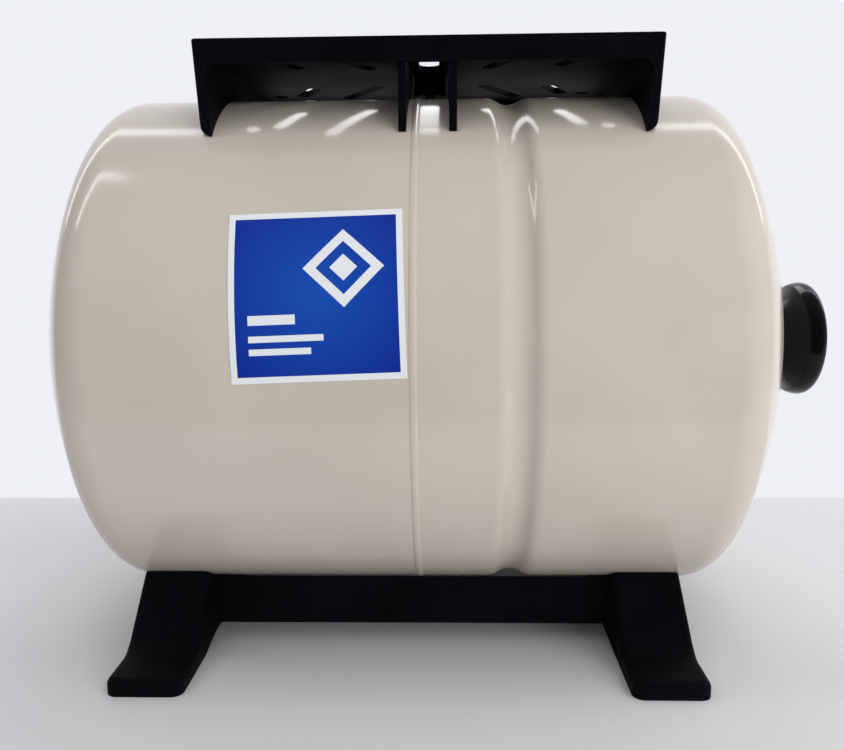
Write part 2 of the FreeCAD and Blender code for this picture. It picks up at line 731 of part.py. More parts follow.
def make_pump_bracket():
    body = new_body("pump_bracket")
    underside = f"{DECK_HEIGHT} - deck_wall"
    lip_foot = f"{DECK_HEIGHT} - lip_height"
    lip_inside = "bracket_half_width - lip_wall"
    channel = [
        ("-bracket_half_width", DECK_HEIGHT),
        ("-bracket_half_width", lip_foot),
        (f"-({lip_inside})", lip_foot),
        (f"-({lip_inside})", underside),
        (lip_inside, underside),
        (lip_inside, lip_foot),
        ("bracket_half_width", lip_foot),
        ("bracket_half_width", DECK_HEIGHT),
    ]
    deck = new_sketch(body, "deck_channel", "YZ_Plane", [channel])
    pad(body, deck, "2 * bracket_half_length", both_ways=True)

    walls = [
        ("left_end", "-bracket_half_length", "end_wall", "bracket_half_width"),
        ("left_rib", "-rib_place - rib_wall / 2", "rib_wall", "bracket_half_width - rib_setback"),
        ("right_rib", "rib_place - rib_wall / 2", "rib_wall", "bracket_half_width - rib_setback"),
        ("right_end", "bracket_half_length - end_wall", "end_wall", "bracket_half_width"),
    ]
    for name, place, thickness, half_width in walls:
        wall = new_sketch(body, name, "YZ_Plane", [saddle_wall(half_width)], shift=place)
        pad(body, wall, thickness)

    boss = new_sketch(body, "nut_boss", "XY_Plane", circles=[("0", "0", "nut_boss_radius")],
                      shift="tank_radius + nut_boss_stand")
    pad(body, boss, "deck_rise - deck_wall / 2 - nut_boss_stand")

    # The end walls lean in a little towards the vessel
    wall_tip = f"sqrt({SADDLE}^2 - bracket_half_width^2)"
    lean = f"(bracket_half_length - ({DECK_HEIGHT} - {wall_tip}) * tan(end_draft))"
    low = f"{wall_tip} - edge_chamfer"
    wedges = []
    for side in ("", "-"):
        wedges.append([
            (f"{side}bracket_half_length", DECK_HEIGHT),
            (f"{side}{lean}", low),
            (f"{side}(bracket_half_length + edge_chamfer)", low),
            (f"{side}(bracket_half_length + edge_chamfer)", DECK_HEIGHT),
        ])
    draft = new_sketch(body, "end_draft_wedges", "XZ_Plane", wedges)
    pocket(body, draft, "2 * (bracket_half_width + edge_chamfer)", both_ways=True)

    slots = []
    for side_y in ("1", "-1"):
        slots.append(slot_loop("0", "centre_slot_near",
                               "0", "(bracket_half_width - centre_slot_inset)",
                               "centre_slot_half", "1", side_y))
        for side_x in ("1", "-1"):
            slots.append(slot_loop("inner_slant_near_x", "inner_slant_near_y",
                                   "inner_slant_far_x", "(bracket_half_width - inner_slant_inset_y)",
                                   "slant_slot_half", side_x, side_y))
            slots.append(slot_loop("(bracket_half_length - outer_slant_near_inset_x)",
                                   "outer_slant_near_y",
                                   "(bracket_half_length - outer_slant_far_inset_x)",
                                   "(bracket_half_width - outer_slant_inset_y)",
                                   "slant_slot_half", side_x, side_y))
    holes = [(f"({side_x}) * (bracket_half_length - deck_hole_inset_x)",
              f"({side_y}) * (bracket_half_width - deck_hole_inset_y)", "deck_hole_radius")
             for side_x in (1, -1) for side_y in (1, -1)]
    cuts = new_sketch(body, "deck_slots", "XY_Plane", slots, holes, shift=DECK_HEIGHT)
    pocket(body, cuts, "deck_wall + edge_chamfer")
    recess = new_sketch(body, "nut_pocket", "XY_Plane", circles=[("0", "0", "nut_pocket_radius")],
                        shift=DECK_HEIGHT)
    pocket(body, recess, "nut_pocket_depth")
    hole = new_sketch(body, "stud_clearance", "XY_Plane", circles=[("0", "0", "stud_hole")],
                      shift=DECK_HEIGHT)
    pocket(body, hole, "deck_rise - nut_boss_stand + edge_chamfer")

    front = value("bracket_half_width")
    end = value("bracket_half_length")
    top = value(DECK_HEIGHT)
    tip = value(wall_tip)
    bay_top = value(lip_foot)
    lip_middle = value("bracket_half_width - lip_wall / 2")
    outer_half = value("bracket_half_length - end_wall / 2")
    round_edges(body, "bay_rounding", "bay_round", lambda edge: (
        runs_along(edge, ALONG_Y) and near(abs(edge.CenterOfMass.y), lip_middle)
        and near(edge.CenterOfMass.z, bay_top)))
    round_edges(body, "corner_rounding", "corner_round", lambda edge: (
        near(abs(edge.CenterOfMass.y), front) and abs(edge.CenterOfMass.x) > outer_half
        and edge.BoundBox.ZLength > (top - tip) / 2))

    # The lower corners of the end walls are round as seen from the front
    round_x = f"({lean} - tip_round * (1 - sin(end_draft)) / cos(end_draft))"
    round_z = f"({wall_tip} + tip_round)"
    side_x = f"({round_x} + tip_round * cos(end_draft))"
    side_z = f"({round_z} - tip_round * sin(end_draft))"
    tips = []
    for side in ("", "-"):
        roll = Arc("tip_round", f"{side}{round_x}", round_z, left=side == "-")
        tips.append([
            (f"{side}{side_x}", side_z, roll),
            (f"{side}{round_x}", wall_tip),
            (f"{side}{round_x}", low),
            (f"{side}(bracket_half_length + edge_chamfer)", low),
            (f"{side}(bracket_half_length + edge_chamfer)", side_z),
        ])
    corner = new_sketch(body, "tip_corners", "XZ_Plane", tips)
    pocket(body, corner, "2 * (bracket_half_width + edge_chamfer)", both_ways=True)

    rim = value("corner_round") / 2
    round_edges(body, "deck_edge_rounding", "deck_edge_round", lambda edge: (
        in_level(edge, top) and (near(abs(edge.CenterOfMass.y), front, rim)
                                 or near(abs(edge.CenterOfMass.x), end, rim))))
    set_down(body, "bracket_place")


# Moulded base: two cross saddles that end in feet, joined by a beam along each side


def leg_outline():
    """A saddle with a foot at each side; each leg runs down into the bend over its toe."""
    tip = f"(-sqrt({SADDLE}^2 - saddle_side^2))"
    toe_top = f"(toe_height - {AXIS_HEIGHT})"
    toe_root = "(toe_reach - toe_length)"
    bend_z = f"({toe_top} + leg_bend)"
    across = f"({toe_root} - saddle_side)"
    down = f"({bend_z} - {tip})"
    apart = f"({across}^2 + {down}^2)"
    leg = f"sqrt({apart} - leg_bend^2)"
    right = [
        ("saddle_side", tip),
        (f"saddle_side + {leg} * ({leg} * {across} + leg_bend * {down}) / {apart}",
         f"{tip} + {leg} * ({leg} * {down} - leg_bend * {across}) / {apart}",
         Arc("leg_bend", toe_root, bend_z, left=True)),
        (toe_root, toe_top),
        ("toe_reach", toe_top),
        ("toe_reach", f"-{AXIS_HEIGHT}"),
        ("toe_reach - foot_depth", f"-{AXIS_HEIGHT}"),
        ("toe_reach - foot_depth - web_run", f"web_floor_gap - {AXIS_HEIGHT}"),
    ]
    left = []
    for corner in reversed(right):
        left.append((f"-({corner[0]})", corner[1]))
    left[4] = (left[4][0], left[4][1], Arc("leg_bend", f"-{toe_root}", bend_z, left=True))
    left[-1] = (left[-1][0], left[-1][1], Arc(SADDLE, "0", "0", left=True))
    return right + left


def beam_outline(side):
    """A beam along one side of the base; its top edge clears the weld bead."""
    clear = "(tank_radius + bead_height + saddle_gap)"
    inside = "(beam_top_y - beam_wall)"
    foot = f"beam_floor_gap - {AXIS_HEIGHT}"
    return [
        (f"{side}(beam_top_y + beam_lean)", foot),
        (f"{side}beam_top_y", f"-sqrt({clear}^2 - beam_top_y^2)",
         Arc(clear, "0", "0", left=side == "-")),
        (f"{side}{inside}", f"-sqrt({clear}^2 - {inside}^2)"),
        (f"{side}(beam_top_y + beam_lean - beam_wall)", foot),
    ]


def make_base_stand():
    body = new_body("base_stand")
    left = new_sketch(body, "left_saddle", "YZ_Plane", [leg_outline()], shift="-base_half_length")
    pad(body, left, "foot_length")
    beams = new_sketch(body, "beams", "YZ_Plane", [beam_outline(""), beam_outline("-")],
                       shift=f"-{FOOT_INNER} - edge_chamfer")
    pad(body, beams, f"2 * ({FOOT_INNER} + edge_chamfer)")
    right = new_sketch(body, "right_saddle", "YZ_Plane", [leg_outline()], shift=FOOT_INNER)
    pad(body, right, "foot_length")

    # The outer ends lean in from the toes to the saddles
    high = f"-sqrt({SADDLE}^2 - saddle_side^2) + edge_chamfer"
    low = f"(toe_height - {AXIS_HEIGHT})"
    wedges = []
    for side in ("", "-"):
        wedges.append([
            (f"{side}base_half_length", low),
            (f"{side}(base_half_length + edge_chamfer)", low),
            (f"{side}(base_half_length + edge_chamfer)", high),
            (f"{side}(base_half_length - foot_inset)", high),
        ])
    draft = new_sketch(body, "foot_draft_wedges", "XZ_Plane", wedges)
    pocket(body, draft, "2 * (toe_reach + edge_chamfer)", both_ways=True)

    # Each foot is hollow underneath, with a wall all round
    recesses = []
    for side_x in (1, -1):
        for side_y in (1, -1):
            x_in = f"({side_x}) * ({FOOT_INNER} + foot_wall)"
            x_out = f"({side_x}) * (base_half_length - foot_wall)"
            y_in = f"({side_y}) * (toe_reach - foot_depth + foot_wall)"
            y_out = f"({side_y}) * (toe_reach - foot_wall)"
            recesses.append([(x_in, y_in), (x_out, y_in), (x_out, y_out), (x_in, y_out)])
    hollow = new_sketch(body, "foot_hollows", "XY_Plane", recesses, shift=f"-{AXIS_HEIGHT}")
    pocket(body, hollow, "foot_recess", backwards=True)
    middle = "(base_half_length - foot_length / 2)"
    holes = new_sketch(body, "stud_clearance", "XY_Plane",
                       circles=[(middle, "0", "stud_hole"), (f"-{middle}", "0", "stud_hole")],
                       shift=f"-{AXIS_HEIGHT}")
    pocket(body, holes, "belly_clearance + edge_chamfer", backwards=True)

    reach = value("toe_reach")
    toe_top = value(f"toe_height - {AXIS_HEIGHT}")
    round_edges(body, "toe_corner_rounding", "toe_corner_round", lambda edge: (
        runs_along(edge, ALONG_Z) and near(abs(edge.CenterOfMass.y), reach)))
    round_edges(body, "toe_rounding", "toe_round", lambda edge: (
        runs_along(edge, ALONG_X) and near(abs(edge.CenterOfMass.y), reach)
        and in_level(edge, toe_top)))
    set_down(body, "base_place")


# Fasteners, made of plain primitives


def primitive(kind, name, sizes, place, axis=ALONG_Z):
    """A cylinder, cone or prism with bound sizes, standing at a bound place along an axis."""
    feature = doc.addObject(kind, name)
    for prop, formula in sizes.items():
        tie(feature, prop, formula)
    turn = FreeCAD.Rotation(ALONG_Z, axis)
    feature.Placement = FreeCAD.Placement(FreeCAD.Vector(), turn)
    for coordinate, formula in zip("xyz", place):
        tie(feature, f"Placement.Base.{coordinate}", formula)
    return feature


def drilled(name, blank, hole):
    cut = doc.addObject("Part::Cut", name)
    cut.Base = blank
    cut.Tool = hole
    return cut


def hexagon_nut(name, flats, height, bore, place, axis):
    """A hexagon nut with its outer face chamfered, seated at place and rising along axis."""
    prism = primitive("Part::Prism", name + "_blank", {
        "Circumradius": f"{flats} / 2 / cos(30)", "Height": height}, place, axis)
    prism.Polygon = 6
    cone = primitive("Part::Cone", name + "_chamfer", {
        "Radius1": f"{flats} / 2 + {height} / tan(30)",
        "Radius2": f"{flats} / 2",
        "Height": height}, place, axis)
    blank = doc.addObject("Part::Common", name + "_hexagon")
    blank.Base = prism
    blank.Tool = cone
    hole = primitive("Part::Cylinder", name + "_bore", {"Radius": bore, "Height": height},
                     place, axis)
    return drilled(name, blank, hole)


def together(node, pieces):
    """One node of separate like solids."""
    group = doc.addObject("Part::Compound", node)
    group.Label = node
    group.Links = pieces
    subparts.append(group)


def make_nuts_of_the_heads():
    port = [f"{MIDDLE} - {PORT_SEAT}", "0", AXIS_HEIGHT]
    nut = hexagon_nut("connection_nut", "port_nut_flats", "port_nut_height", "port_nut_bore",
                      port, -ALONG_X)
    nut.Label = "connection_nut"
    subparts.append(nut)
    valve = [f"{MIDDLE} + {VALVE_SEAT}", "0", AXIS_HEIGHT]
    nut = hexagon_nut("valve_nut", "stem_nut_flats", "stem_nut_height", "stem_nut_bore",
                      valve, ALONG_X)
    nut.Label = "valve_nut"
    subparts.append(nut)


def fastening(name, x, wall_face, stud_top, upward):
    """A welded stud with its washer and nut; wall_face is where the washer seats."""
    axis = ALONG_Z if upward else -ALONG_Z
    sign = "+" if upward else "-"
    start = f"{AXIS_HEIGHT} {sign} (tank_radius + stud_seat_gap)"
    seat = f"{AXIS_HEIGHT} {sign} ({wall_face})"
    stud = primitive("Part::Cylinder", name + "_stud", {
        "Radius": "stud_radius",
        "Height": f"({stud_top}) - tank_radius - stud_seat_gap"}, [x, "0", start], axis)
    plate = primitive("Part::Cylinder", name + "_washer_plate", {
        "Radius": "washer_radius", "Height": "washer_wall"}, [x, "0", seat], axis)
    hole = primitive("Part::Cylinder", name + "_washer_hole", {
        "Radius": "stud_hole", "Height": "washer_wall"}, [x, "0", seat], axis)
    washer = drilled(name + "_washer_ring", plate, hole)
    nut_seat = f"{seat} {sign} washer_wall"
    nut = hexagon_nut(name + "_hex", "nut_flats", "nut_height", "nut_bore",
                      [x, "0", nut_seat], axis)
    return stud, washer, nut


def make_fasteners():
    middle = f"{MIDDLE} + bracket_place"
    pieces = fastening("top", middle, f"{DECK_HEIGHT} - nut_pocket_depth",
                       f"{DECK_HEIGHT} - stud_end", upward=True)
    for piece, node in zip(pieces, ("bracket_stud", "bracket_washer", "bracket_nut")):
        piece.Label = node
        subparts.append(piece)
    foot_middle = "(base_half_length - foot_length / 2)"
    sides = []
    for name, side in (("left", "-"), ("right", "+")):
        place = f"{MIDDLE} + base_place {side} {foot_middle}"
        sides.append(fastening(name, place, f"{AXIS_HEIGHT} - web_floor_gap",
                               f"{AXIS_HEIGHT} - stud_end", upward=False))
    for node, pair in zip(("base_studs", "base_washers", "base_nuts"), zip(*sides)):
        together(node, list(pair))


# Label: a thin square skin on the front of the water half


def make_label():
    tube = primitive("Part::Cylinder", "label_outside", {
        "Radius": "tank_radius + label_gap + label_wall", "Height": "2 * label_size"},
        [f"{MIDDLE} + label_place - label_size", "0", AXIS_HEIGHT], ALONG_X)
    core = primitive("Part::Cylinder", "label_inside", {
        "Radius": "tank_radius + label_gap", "Height": "2 * label_size"},
        [f"{MIDDLE} + label_place - label_size", "0", AXIS_HEIGHT], ALONG_X)
    skin = drilled("label_skin", tube, core)
    window = doc.addObject("Part::Box", "label_window")
    tie(window, "Length", "label_size")
    tie(window, "Width", "label_size / 2")
    tie(window, "Height", "2 * tank_radius * sin(90 * label_size / (pi * tank_radius))")
    doc.recompute()
    half = FreeCAD.Vector(window.Length.Value, window.Width.Value, window.Height.Value) / 2
    lean = FreeCAD.Rotation(ALONG_X, -value("label_face_angle"))
    tilt = FreeCAD.Rotation(ALONG_Y, -value("label_tilt_angle"))
    turn = lean.multiply(tilt)
    face = lean.multVec(FreeCAD.Vector(0, -value("tank_radius"), 0))
    middle = FreeCAD.Vector(value(f"{MIDDLE} + label_place"), 0, value(AXIS_HEIGHT))
    window.Placement = FreeCAD.Placement(middle + face - turn.multVec(half), turn)
    label = doc.addObject("Part::Common", "tank_label")
    label.Label = "tank_label"
    label.Base = skin
    label.Tool = window
    subparts.append(label)


make_water_shell()
make_air_shell()
make_liner()
make_diaphragm()
make_clench_ring()
make_water_connection()
make_air_valve()
make_core_spring()
make_air_cap()
make_pump_bracket()
make_base_stand()
make_nuts_of_the_heads()
make_fasteners()
make_label()
doc.recompute()

# Every object has to be sound before anything is written

for item in doc.Objects:
    if "Invalid" in item.State or "Error" in item.State:
        raise RuntimeError(f"{item.Name} did not build: {item.State}")
for item in subparts:
    shape = item.Shape
    if shape.isNull() or not shape.isValid() or not shape.Solids:
        raise RuntimeError(f"{item.Label} has no sound solid")

os.makedirs("parts", exist_ok=True)
for item in subparts:
    item.Shape.exportStep(f"parts/{item.Label}.step")
    print(f"{item.Label}: {len(item.Shape.Solids)} solid, {item.Shape.Volume / 1000:.2f} cm3")
whole = Part.makeCompound([item.Shape for item in subparts]).optimalBoundingBox()
print(f"overall {whole.XLength:.1f} x {whole.YLength:.1f} x {whole.ZLength:.1f} mm, from "
      f"{whole.XMin:.2f}, {whole.YMin:.2f}, {whole.ZMin:.2f}")
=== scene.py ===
# %% [markdown]
# A horizontal well pressure tank: a beige enamelled steel vessel on a black moulded base, with a
# black moulded bracket for a pump on top. The solid model is the fixed frame: it gives every size
# and place, and this script only gives the pieces their finished form, their finish and the light.
# The round pieces are turned again here from their profiles, because the eye sees the facets of a
# solid model on anything large and glossy. The moulded pieces are copies of the model's own form,
# which is only mended a little where the photograph shows it more closely.

# %% Load the frame
import bpy
import json
import math
import bmesh
from mathutils import Matrix, Vector


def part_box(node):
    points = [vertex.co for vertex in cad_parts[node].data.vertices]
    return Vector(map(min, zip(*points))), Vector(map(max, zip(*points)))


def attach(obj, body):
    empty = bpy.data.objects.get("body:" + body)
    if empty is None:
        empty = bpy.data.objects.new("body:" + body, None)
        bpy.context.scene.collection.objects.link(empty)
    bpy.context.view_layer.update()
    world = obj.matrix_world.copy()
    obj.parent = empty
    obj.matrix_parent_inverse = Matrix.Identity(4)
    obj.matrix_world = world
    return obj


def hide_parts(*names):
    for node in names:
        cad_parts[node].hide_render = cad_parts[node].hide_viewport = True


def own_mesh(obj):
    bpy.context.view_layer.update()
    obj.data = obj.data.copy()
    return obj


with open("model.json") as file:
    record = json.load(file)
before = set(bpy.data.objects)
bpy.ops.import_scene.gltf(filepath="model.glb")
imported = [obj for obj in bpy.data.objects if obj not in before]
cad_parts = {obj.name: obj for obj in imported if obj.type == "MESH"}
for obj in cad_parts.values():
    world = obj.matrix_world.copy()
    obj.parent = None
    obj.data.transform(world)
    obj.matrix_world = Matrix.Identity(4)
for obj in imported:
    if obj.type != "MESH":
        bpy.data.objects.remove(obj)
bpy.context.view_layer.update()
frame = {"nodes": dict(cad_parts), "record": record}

MM = 0.001

# %% [markdown]
# The vessel is a body of rotation, so a handful of numbers says all of it. Its radius, its axis
# and the ends of its heads are read from the frame. The radii of the knuckle and of the crown
# can't be read from a box, so they stand here as the maker would give them: a drawn head has a
# small knuckle where it leaves the straight wall, and a large crown over its middle.

# %% Sizes of the vessel
air_low, air_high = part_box("air_shell")
water_low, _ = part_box("water_shell")

TANK_RADIUS = (air_high.z - air_low.z) / 2
AXIS_Z = (air_high.z + air_low.z) / 2
PORT_SEAT = water_low.x
VALVE_SEAT = air_high.x
PORT_SEAT_RADIUS = 30 * MM
VALVE_SEAT_RADIUS = 21 * MM

HEAD_START = 152 * MM
KNUCKLE_RADIUS = 23 * MM
CROWN_RADIUS = 260 * MM
SHELL_WALL = 1.5 * MM
GROOVE_PLACE = 53 * MM
GROOVE_HALF = 12.5 * MM
GROOVE_DEPTH = 4 * MM
WELD_SHIFT = 1.8 * MM
BEAD_HALF = 2 * MM
BEAD_HEIGHT = 0.6 * MM
LAP_LENGTH = 8 * MM
LAP_GAP = 0.1 * MM
PORT_HOLE = 17 * MM
STEM_HOLE = 6.3 * MM

# Heads with the same crown: their seats' distances from the middle differ only by the seats' radii
seat_drops = [CROWN_RADIUS - math.sqrt(CROWN_RADIUS ** 2 - radius ** 2)
              for radius in (PORT_SEAT_RADIUS, VALVE_SEAT_RADIUS)]
MIDDLE_X = (PORT_SEAT - seat_drops[0] + VALVE_SEAT + seat_drops[1]) / 2
WELD_X = MIDDLE_X + WELD_SHIFT

print(f"vessel: radius {TANK_RADIUS / MM:.1f}, axis {AXIS_Z / MM:.1f} up, "
      f"middle at {MIDDLE_X / MM:.2f}, weld at {WELD_X / MM:.2f} mm")

# %% [markdown]
# Each piece is an object with a mesh of its own. Three small functions serve all of them: one puts
# an object in the scene, one shades it smoothly up to its own sharp corners, and one turns what
# its modifiers draw into plain faces.

# %% New objects, smooth shading and plain meshes
SHARP_ANGLE = math.radians(32)


def new_object(name, data):
    """An object in the scene that shows a mesh, a lamp or a camera."""
    item = bpy.data.objects.new(name, data)
    bpy.context.scene.collection.objects.link(item)
    return item


def smooth(piece):
    """Smooth shading that keeps the piece's own corners sharp."""
    piece.data.shade_smooth()
    piece.data.set_sharp_from_angle(angle=SHARP_ANGLE)


def bake(piece):
    """Turns a piece with its modifiers into a plain mesh."""
    bpy.context.view_layer.update()
    graph = bpy.context.evaluated_depsgraph_get()
    mesh = bpy.data.meshes.new_from_object(piece.evaluated_get(graph))
    piece.modifiers.clear()
    piece.data = mesh
    mesh.name = piece.name


# %% [markdown]
# A profile is a list of points (along the axis, away from it). Straight stretches need only their
# ends, and a round stretch is an arc with enough points to look smooth at the size of the
# photograph. The head is one function with an inset, because the inside of the sheet runs parallel
# to its outside.

# %% Arcs, crowned heads and turned pieces
ON_AXIS = 1e-7


def arc(centre, start, end, steps):
    """Points after start, along the shorter arc about centre, up to end."""
    first = math.atan2(start[1] - centre[1], start[0] - centre[0])
    last = math.atan2(end[1] - centre[1], end[0] - centre[0])
    sweep = (last - first + math.pi) % (2 * math.pi) - math.pi
    radius = math.dist(centre, start)
    points = []
    for step in range(1, steps + 1):
        angle = first + sweep * step / steps
        points.append((centre[0] + radius * math.cos(angle), centre[1] + radius * math.sin(angle)))
    return points


def head(inset, seat):
    """The head, from the end of the straight wall to its flat seat at that distance."""
    span = math.sqrt((CROWN_RADIUS - KNUCKLE_RADIUS) ** 2 - (TANK_RADIUS - KNUCKLE_RADIUS) ** 2)
    crown_centre = (HEAD_START - span, 0)
    knuckle_centre = (HEAD_START, TANK_RADIUS - KNUCKLE_RADIUS)
    share = (CROWN_RADIUS - inset) / (CROWN_RADIUS - KNUCKLE_RADIUS)
    start = (HEAD_START, TANK_RADIUS - inset)
    blend = (crown_centre[0] + share * span, share * knuckle_centre[1])
    reach = seat - crown_centre[0]
    seat_edge = (seat, math.sqrt((CROWN_RADIUS - inset) ** 2 - reach ** 2))
    return [start, *arc(knuckle_centre, start, blend, steps=16),
            *arc(crown_centre, blend, seat_edge, steps=24)]


def lathe(name, loops, facing=1, segments=192, origin_x=MIDDLE_X):
    """Closed profiles turned about the vessel's axis; facing -1 turns them to the water side."""
    form = bmesh.new()
    for loop in loops:
        rings = []
        for along, radius in loop:
            if radius < ON_AXIS:
                rings.append([form.verts.new((origin_x + facing * along, 0, AXIS_Z))] * segments)
                continue
            ring = []
            for step in range(segments):
                angle = 2 * math.pi * step / segments
                ring.append(form.verts.new((origin_x + facing * along, radius * math.cos(angle),
                                            AXIS_Z + radius * math.sin(angle))))
            rings.append(ring)
        for number, ring in enumerate(rings):
            following = rings[(number + 1) % len(rings)]
            for step in range(segments):
                after = (step + 1) % segments
                corners = [ring[step], following[step], following[after], ring[after]]
                distinct = list(dict.fromkeys(corners))
                if len(distinct) > 2:
                    form.faces.new(distinct)
    bmesh.ops.recalc_face_normals(form, faces=form.faces)
    mesh = bpy.data.meshes.new(name)
    form.to_mesh(mesh)
    form.free()
    piece = new_object(name, mesh)
    smooth(piece)
    print(f"{name}: {len(mesh.polygons)} faces")
    return piece


# %% [markdown]
# The water half is the plain one. Its sheet is 1.5 mm, and the far end has the hole for the water
# connection. Its profile goes out along the outside and comes back along the inside, so the turned
# piece is a closed wall and not just a skin.

# %% Water half of the vessel
port_reach = MIDDLE_X - PORT_SEAT
outside = [(-WELD_SHIFT, TANK_RADIUS), *head(0, port_reach)]
inside = [(-WELD_SHIFT, TANK_RADIUS - SHELL_WALL), *head(SHELL_WALL, port_reach - SHELL_WALL)]
water_half = lathe("vessel_water_half", [
    [*outside, (port_reach, PORT_HOLE), (port_reach - SHELL_WALL, PORT_HOLE), *reversed(inside)],
], facing=-1)

# %% [markdown]
# The air half is rolled inward once all the way round, where a ring inside clenches the diaphragm.
# Four equal arcs draw that groove: two turn into it at its shoulders, and two make its floor. The
# half also has a rim set inward, which slips under the edge of the other half before they are
# welded.

# %% Air half of the vessel, with its rolled groove
def groove(inset):
    """The groove in the wall at a depth of inset under the outside, from left to right."""
    roll = (GROOVE_HALF ** 2 + GROOVE_DEPTH ** 2) / (4 * GROOVE_DEPTH)
    left = (GROOVE_PLACE - GROOVE_HALF, TANK_RADIUS - roll)
    floor = (GROOVE_PLACE, TANK_RADIUS - GROOVE_DEPTH + roll)
    right = (GROOVE_PLACE + GROOVE_HALF, TANK_RADIUS - roll)
    share = (roll - inset) / (2 * roll)
    first = (left[0], TANK_RADIUS - inset)
    turn_in = (left[0] + share * (floor[0] - left[0]), left[1] + share * (floor[1] - left[1]))
    turn_out = (right[0] + share * (floor[0] - right[0]), turn_in[1])
    last = (right[0], TANK_RADIUS - inset)
    steps = 8
    return [first, *arc(left, first, turn_in, steps), *arc(floor, turn_in, turn_out, 2 * steps),
            *arc(right, turn_out, last, steps)]


RIM_GAP = 0.2 * MM
JOGGLE_RUN = 4 * MM
valve_reach = VALVE_SEAT - MIDDLE_X
lap_outside = TANK_RADIUS - SHELL_WALL - LAP_GAP
lap_inside = lap_outside - SHELL_WALL
lap_end = WELD_SHIFT - LAP_LENGTH
rim_edge = WELD_SHIFT + RIM_GAP
joggle = WELD_SHIFT + BEAD_HALF
outside = [(lap_end, lap_outside), (rim_edge, lap_outside), (rim_edge, TANK_RADIUS), *groove(0),
           *head(0, valve_reach)]
inside = [(lap_end, lap_inside), (joggle, lap_inside),
          (joggle + JOGGLE_RUN, TANK_RADIUS - SHELL_WALL), *groove(SHELL_WALL),
          *head(SHELL_WALL, valve_reach - SHELL_WALL)]
air_half = lathe("vessel_air_half", [
    [*outside, (valve_reach, STEM_HOLE), (valve_reach - SHELL_WALL, STEM_HOLE), *reversed(inside)],
])

# %% [markdown]
# The scales of a weld repeat one small form, and a thread follows a path. Geometry Nodes suit
# both. The same few functions build their trees and those of the materials: one fills the sockets
# of a node, one adds a node, and one works out a sum. Two more start a tree of geometry nodes and
# run it.

# %% Functions that build and run trees of nodes
def fill(tree, node, inputs):
    """Fills a node's sockets with values or links."""
    for socket, source in inputs.items():
        if isinstance(source, bpy.types.NodeSocket):
            tree.links.new(source, node.inputs[socket])
        else:
            node.inputs[socket].default_value = source


def add(tree, kind, inputs=None, **settings):
    """Adds a node, sets its properties and fills its sockets."""
    node = tree.nodes.new(kind)
    for name, setting in settings.items():
        setattr(node, name, setting)
    fill(tree, node, inputs or {})
    return node


def calc(tree, operation, *values):
    """The result of one sum with values or links."""
    return add(tree, "ShaderNodeMath", dict(enumerate(values)), operation=operation).outputs[0]


def new_tree(name, inputs):
    """A geometry node tree and its named inputs; inputs gives each one's kind of socket."""
    tree = bpy.data.node_groups.new(name, "GeometryNodeTree")
    tree.interface.new_socket("Geometry", in_out="OUTPUT", socket_type="NodeSocketGeometry")
    for label, kind in inputs.items():
        tree.interface.new_socket(label, in_out="INPUT", socket_type="NodeSocket" + kind)
    return tree, add(tree, "NodeGroupInput").outputs


def grow(name, tree, settings):
    """Runs a tree with all its inputs set by name, and keeps the result as a plain mesh."""
    piece = new_object(name, bpy.data.meshes.new(name))
    modifier = piece.modifiers.new("form", "NODES")
    modifier.node_group = tree
    for item in tree.interface.items_tree:
        if item.in_out == "INPUT":
            modifier[item.identifier] = settings[item.name]
    bake(piece)
    smooth(piece)
    print(f"{name}: {len(piece.data.polygons)} faces")
    return piece


# %% [markdown]
# Every material below starts from the real finish. Colours are written as the hex values that a
# picture would show, and one function turns them to the linear values that light is worked out in.
# Patterns are sized in millimetres: a texture's scale is how many of them fit in a metre. Noise
# seldom leaves the middle of its range, so tones and roughness are spread over that middle.

# %% Colour, patterns and a new material
NOISE_LOW = 0.3
NOISE_HIGH = 0.7


def colour(hex_code):
    """The linear colour of an sRGB hex value."""
    channels = [int(hex_code[place:place + 2], 16) / 255 for place in (1, 3, 5)]
    linear = [c / 12.92 if c <= 0.04045 else ((c + 0.055) / 1.055) ** 2.4 for c in channels]
    return (*linear, 1.0)


def per_metre(millimetres):
    """How many patterns of that size fit in a metre."""
    return 1 / (millimetres * MM)


def new_material(name):
    """A material, its tree and its shader."""
    material = bpy.data.materials.new(name)
    material.use_nodes = True
    return material, material.node_tree, material.node_tree.nodes["Principled BSDF"]


def noise(tree, vector, size, detail=1.0):
    """Cloudy noise with patches of about size millimetres."""
    return add(tree, "ShaderNodeTexNoise", {"Vector": vector, "Scale": per_metre(size),
                                            "Detail": detail}).outputs["Fac"]


def ramp(tree, factor, *stops):
    """A colour that runs from stop to stop, each a place from 0 to 1 and a hex value."""
    first, *between, last = stops
    node = add(tree, "ShaderNodeValToRGB", {"Fac": factor})
    elements = node.color_ramp.elements
    for element, (place, hex_code) in zip(elements, (first, last)):
        element.position = place
        element.color = colour(hex_code)
    for place, hex_code in between:
        elements.new(place).color = colour(hex_code)
    return node.outputs["Color"]


def gloss(tree, pattern, dull, bright):
    """A roughness that goes from dull to bright with a pattern of noise."""
    return add(tree, "ShaderNodeMapRange", {
        "Value": pattern, "From Min": NOISE_LOW, "From Max": NOISE_HIGH, "To Min": dull,
        "To Max": bright}).outputs["Result"]


def bump(tree, height, strength, depth, over=None):
    """The normal of a relief of depth millimetres, laid over another relief if one is given."""
    below = {"Normal": over} if over else {}
    return add(tree, "ShaderNodeBump", {"Height": height, "Strength": strength,
                                        "Distance": depth * MM, **below}).outputs["Normal"]


# %% [markdown]
# The vessel is powder coated: beige powder melts on the hot steel and flows out to a thick, glossy
# skin. It never levels quite flat, so reflections in it tremble a little. That "orange peel" is a
# shallow bump of a few millimetres, and a second, broader one stands for the drawn sheet below it.

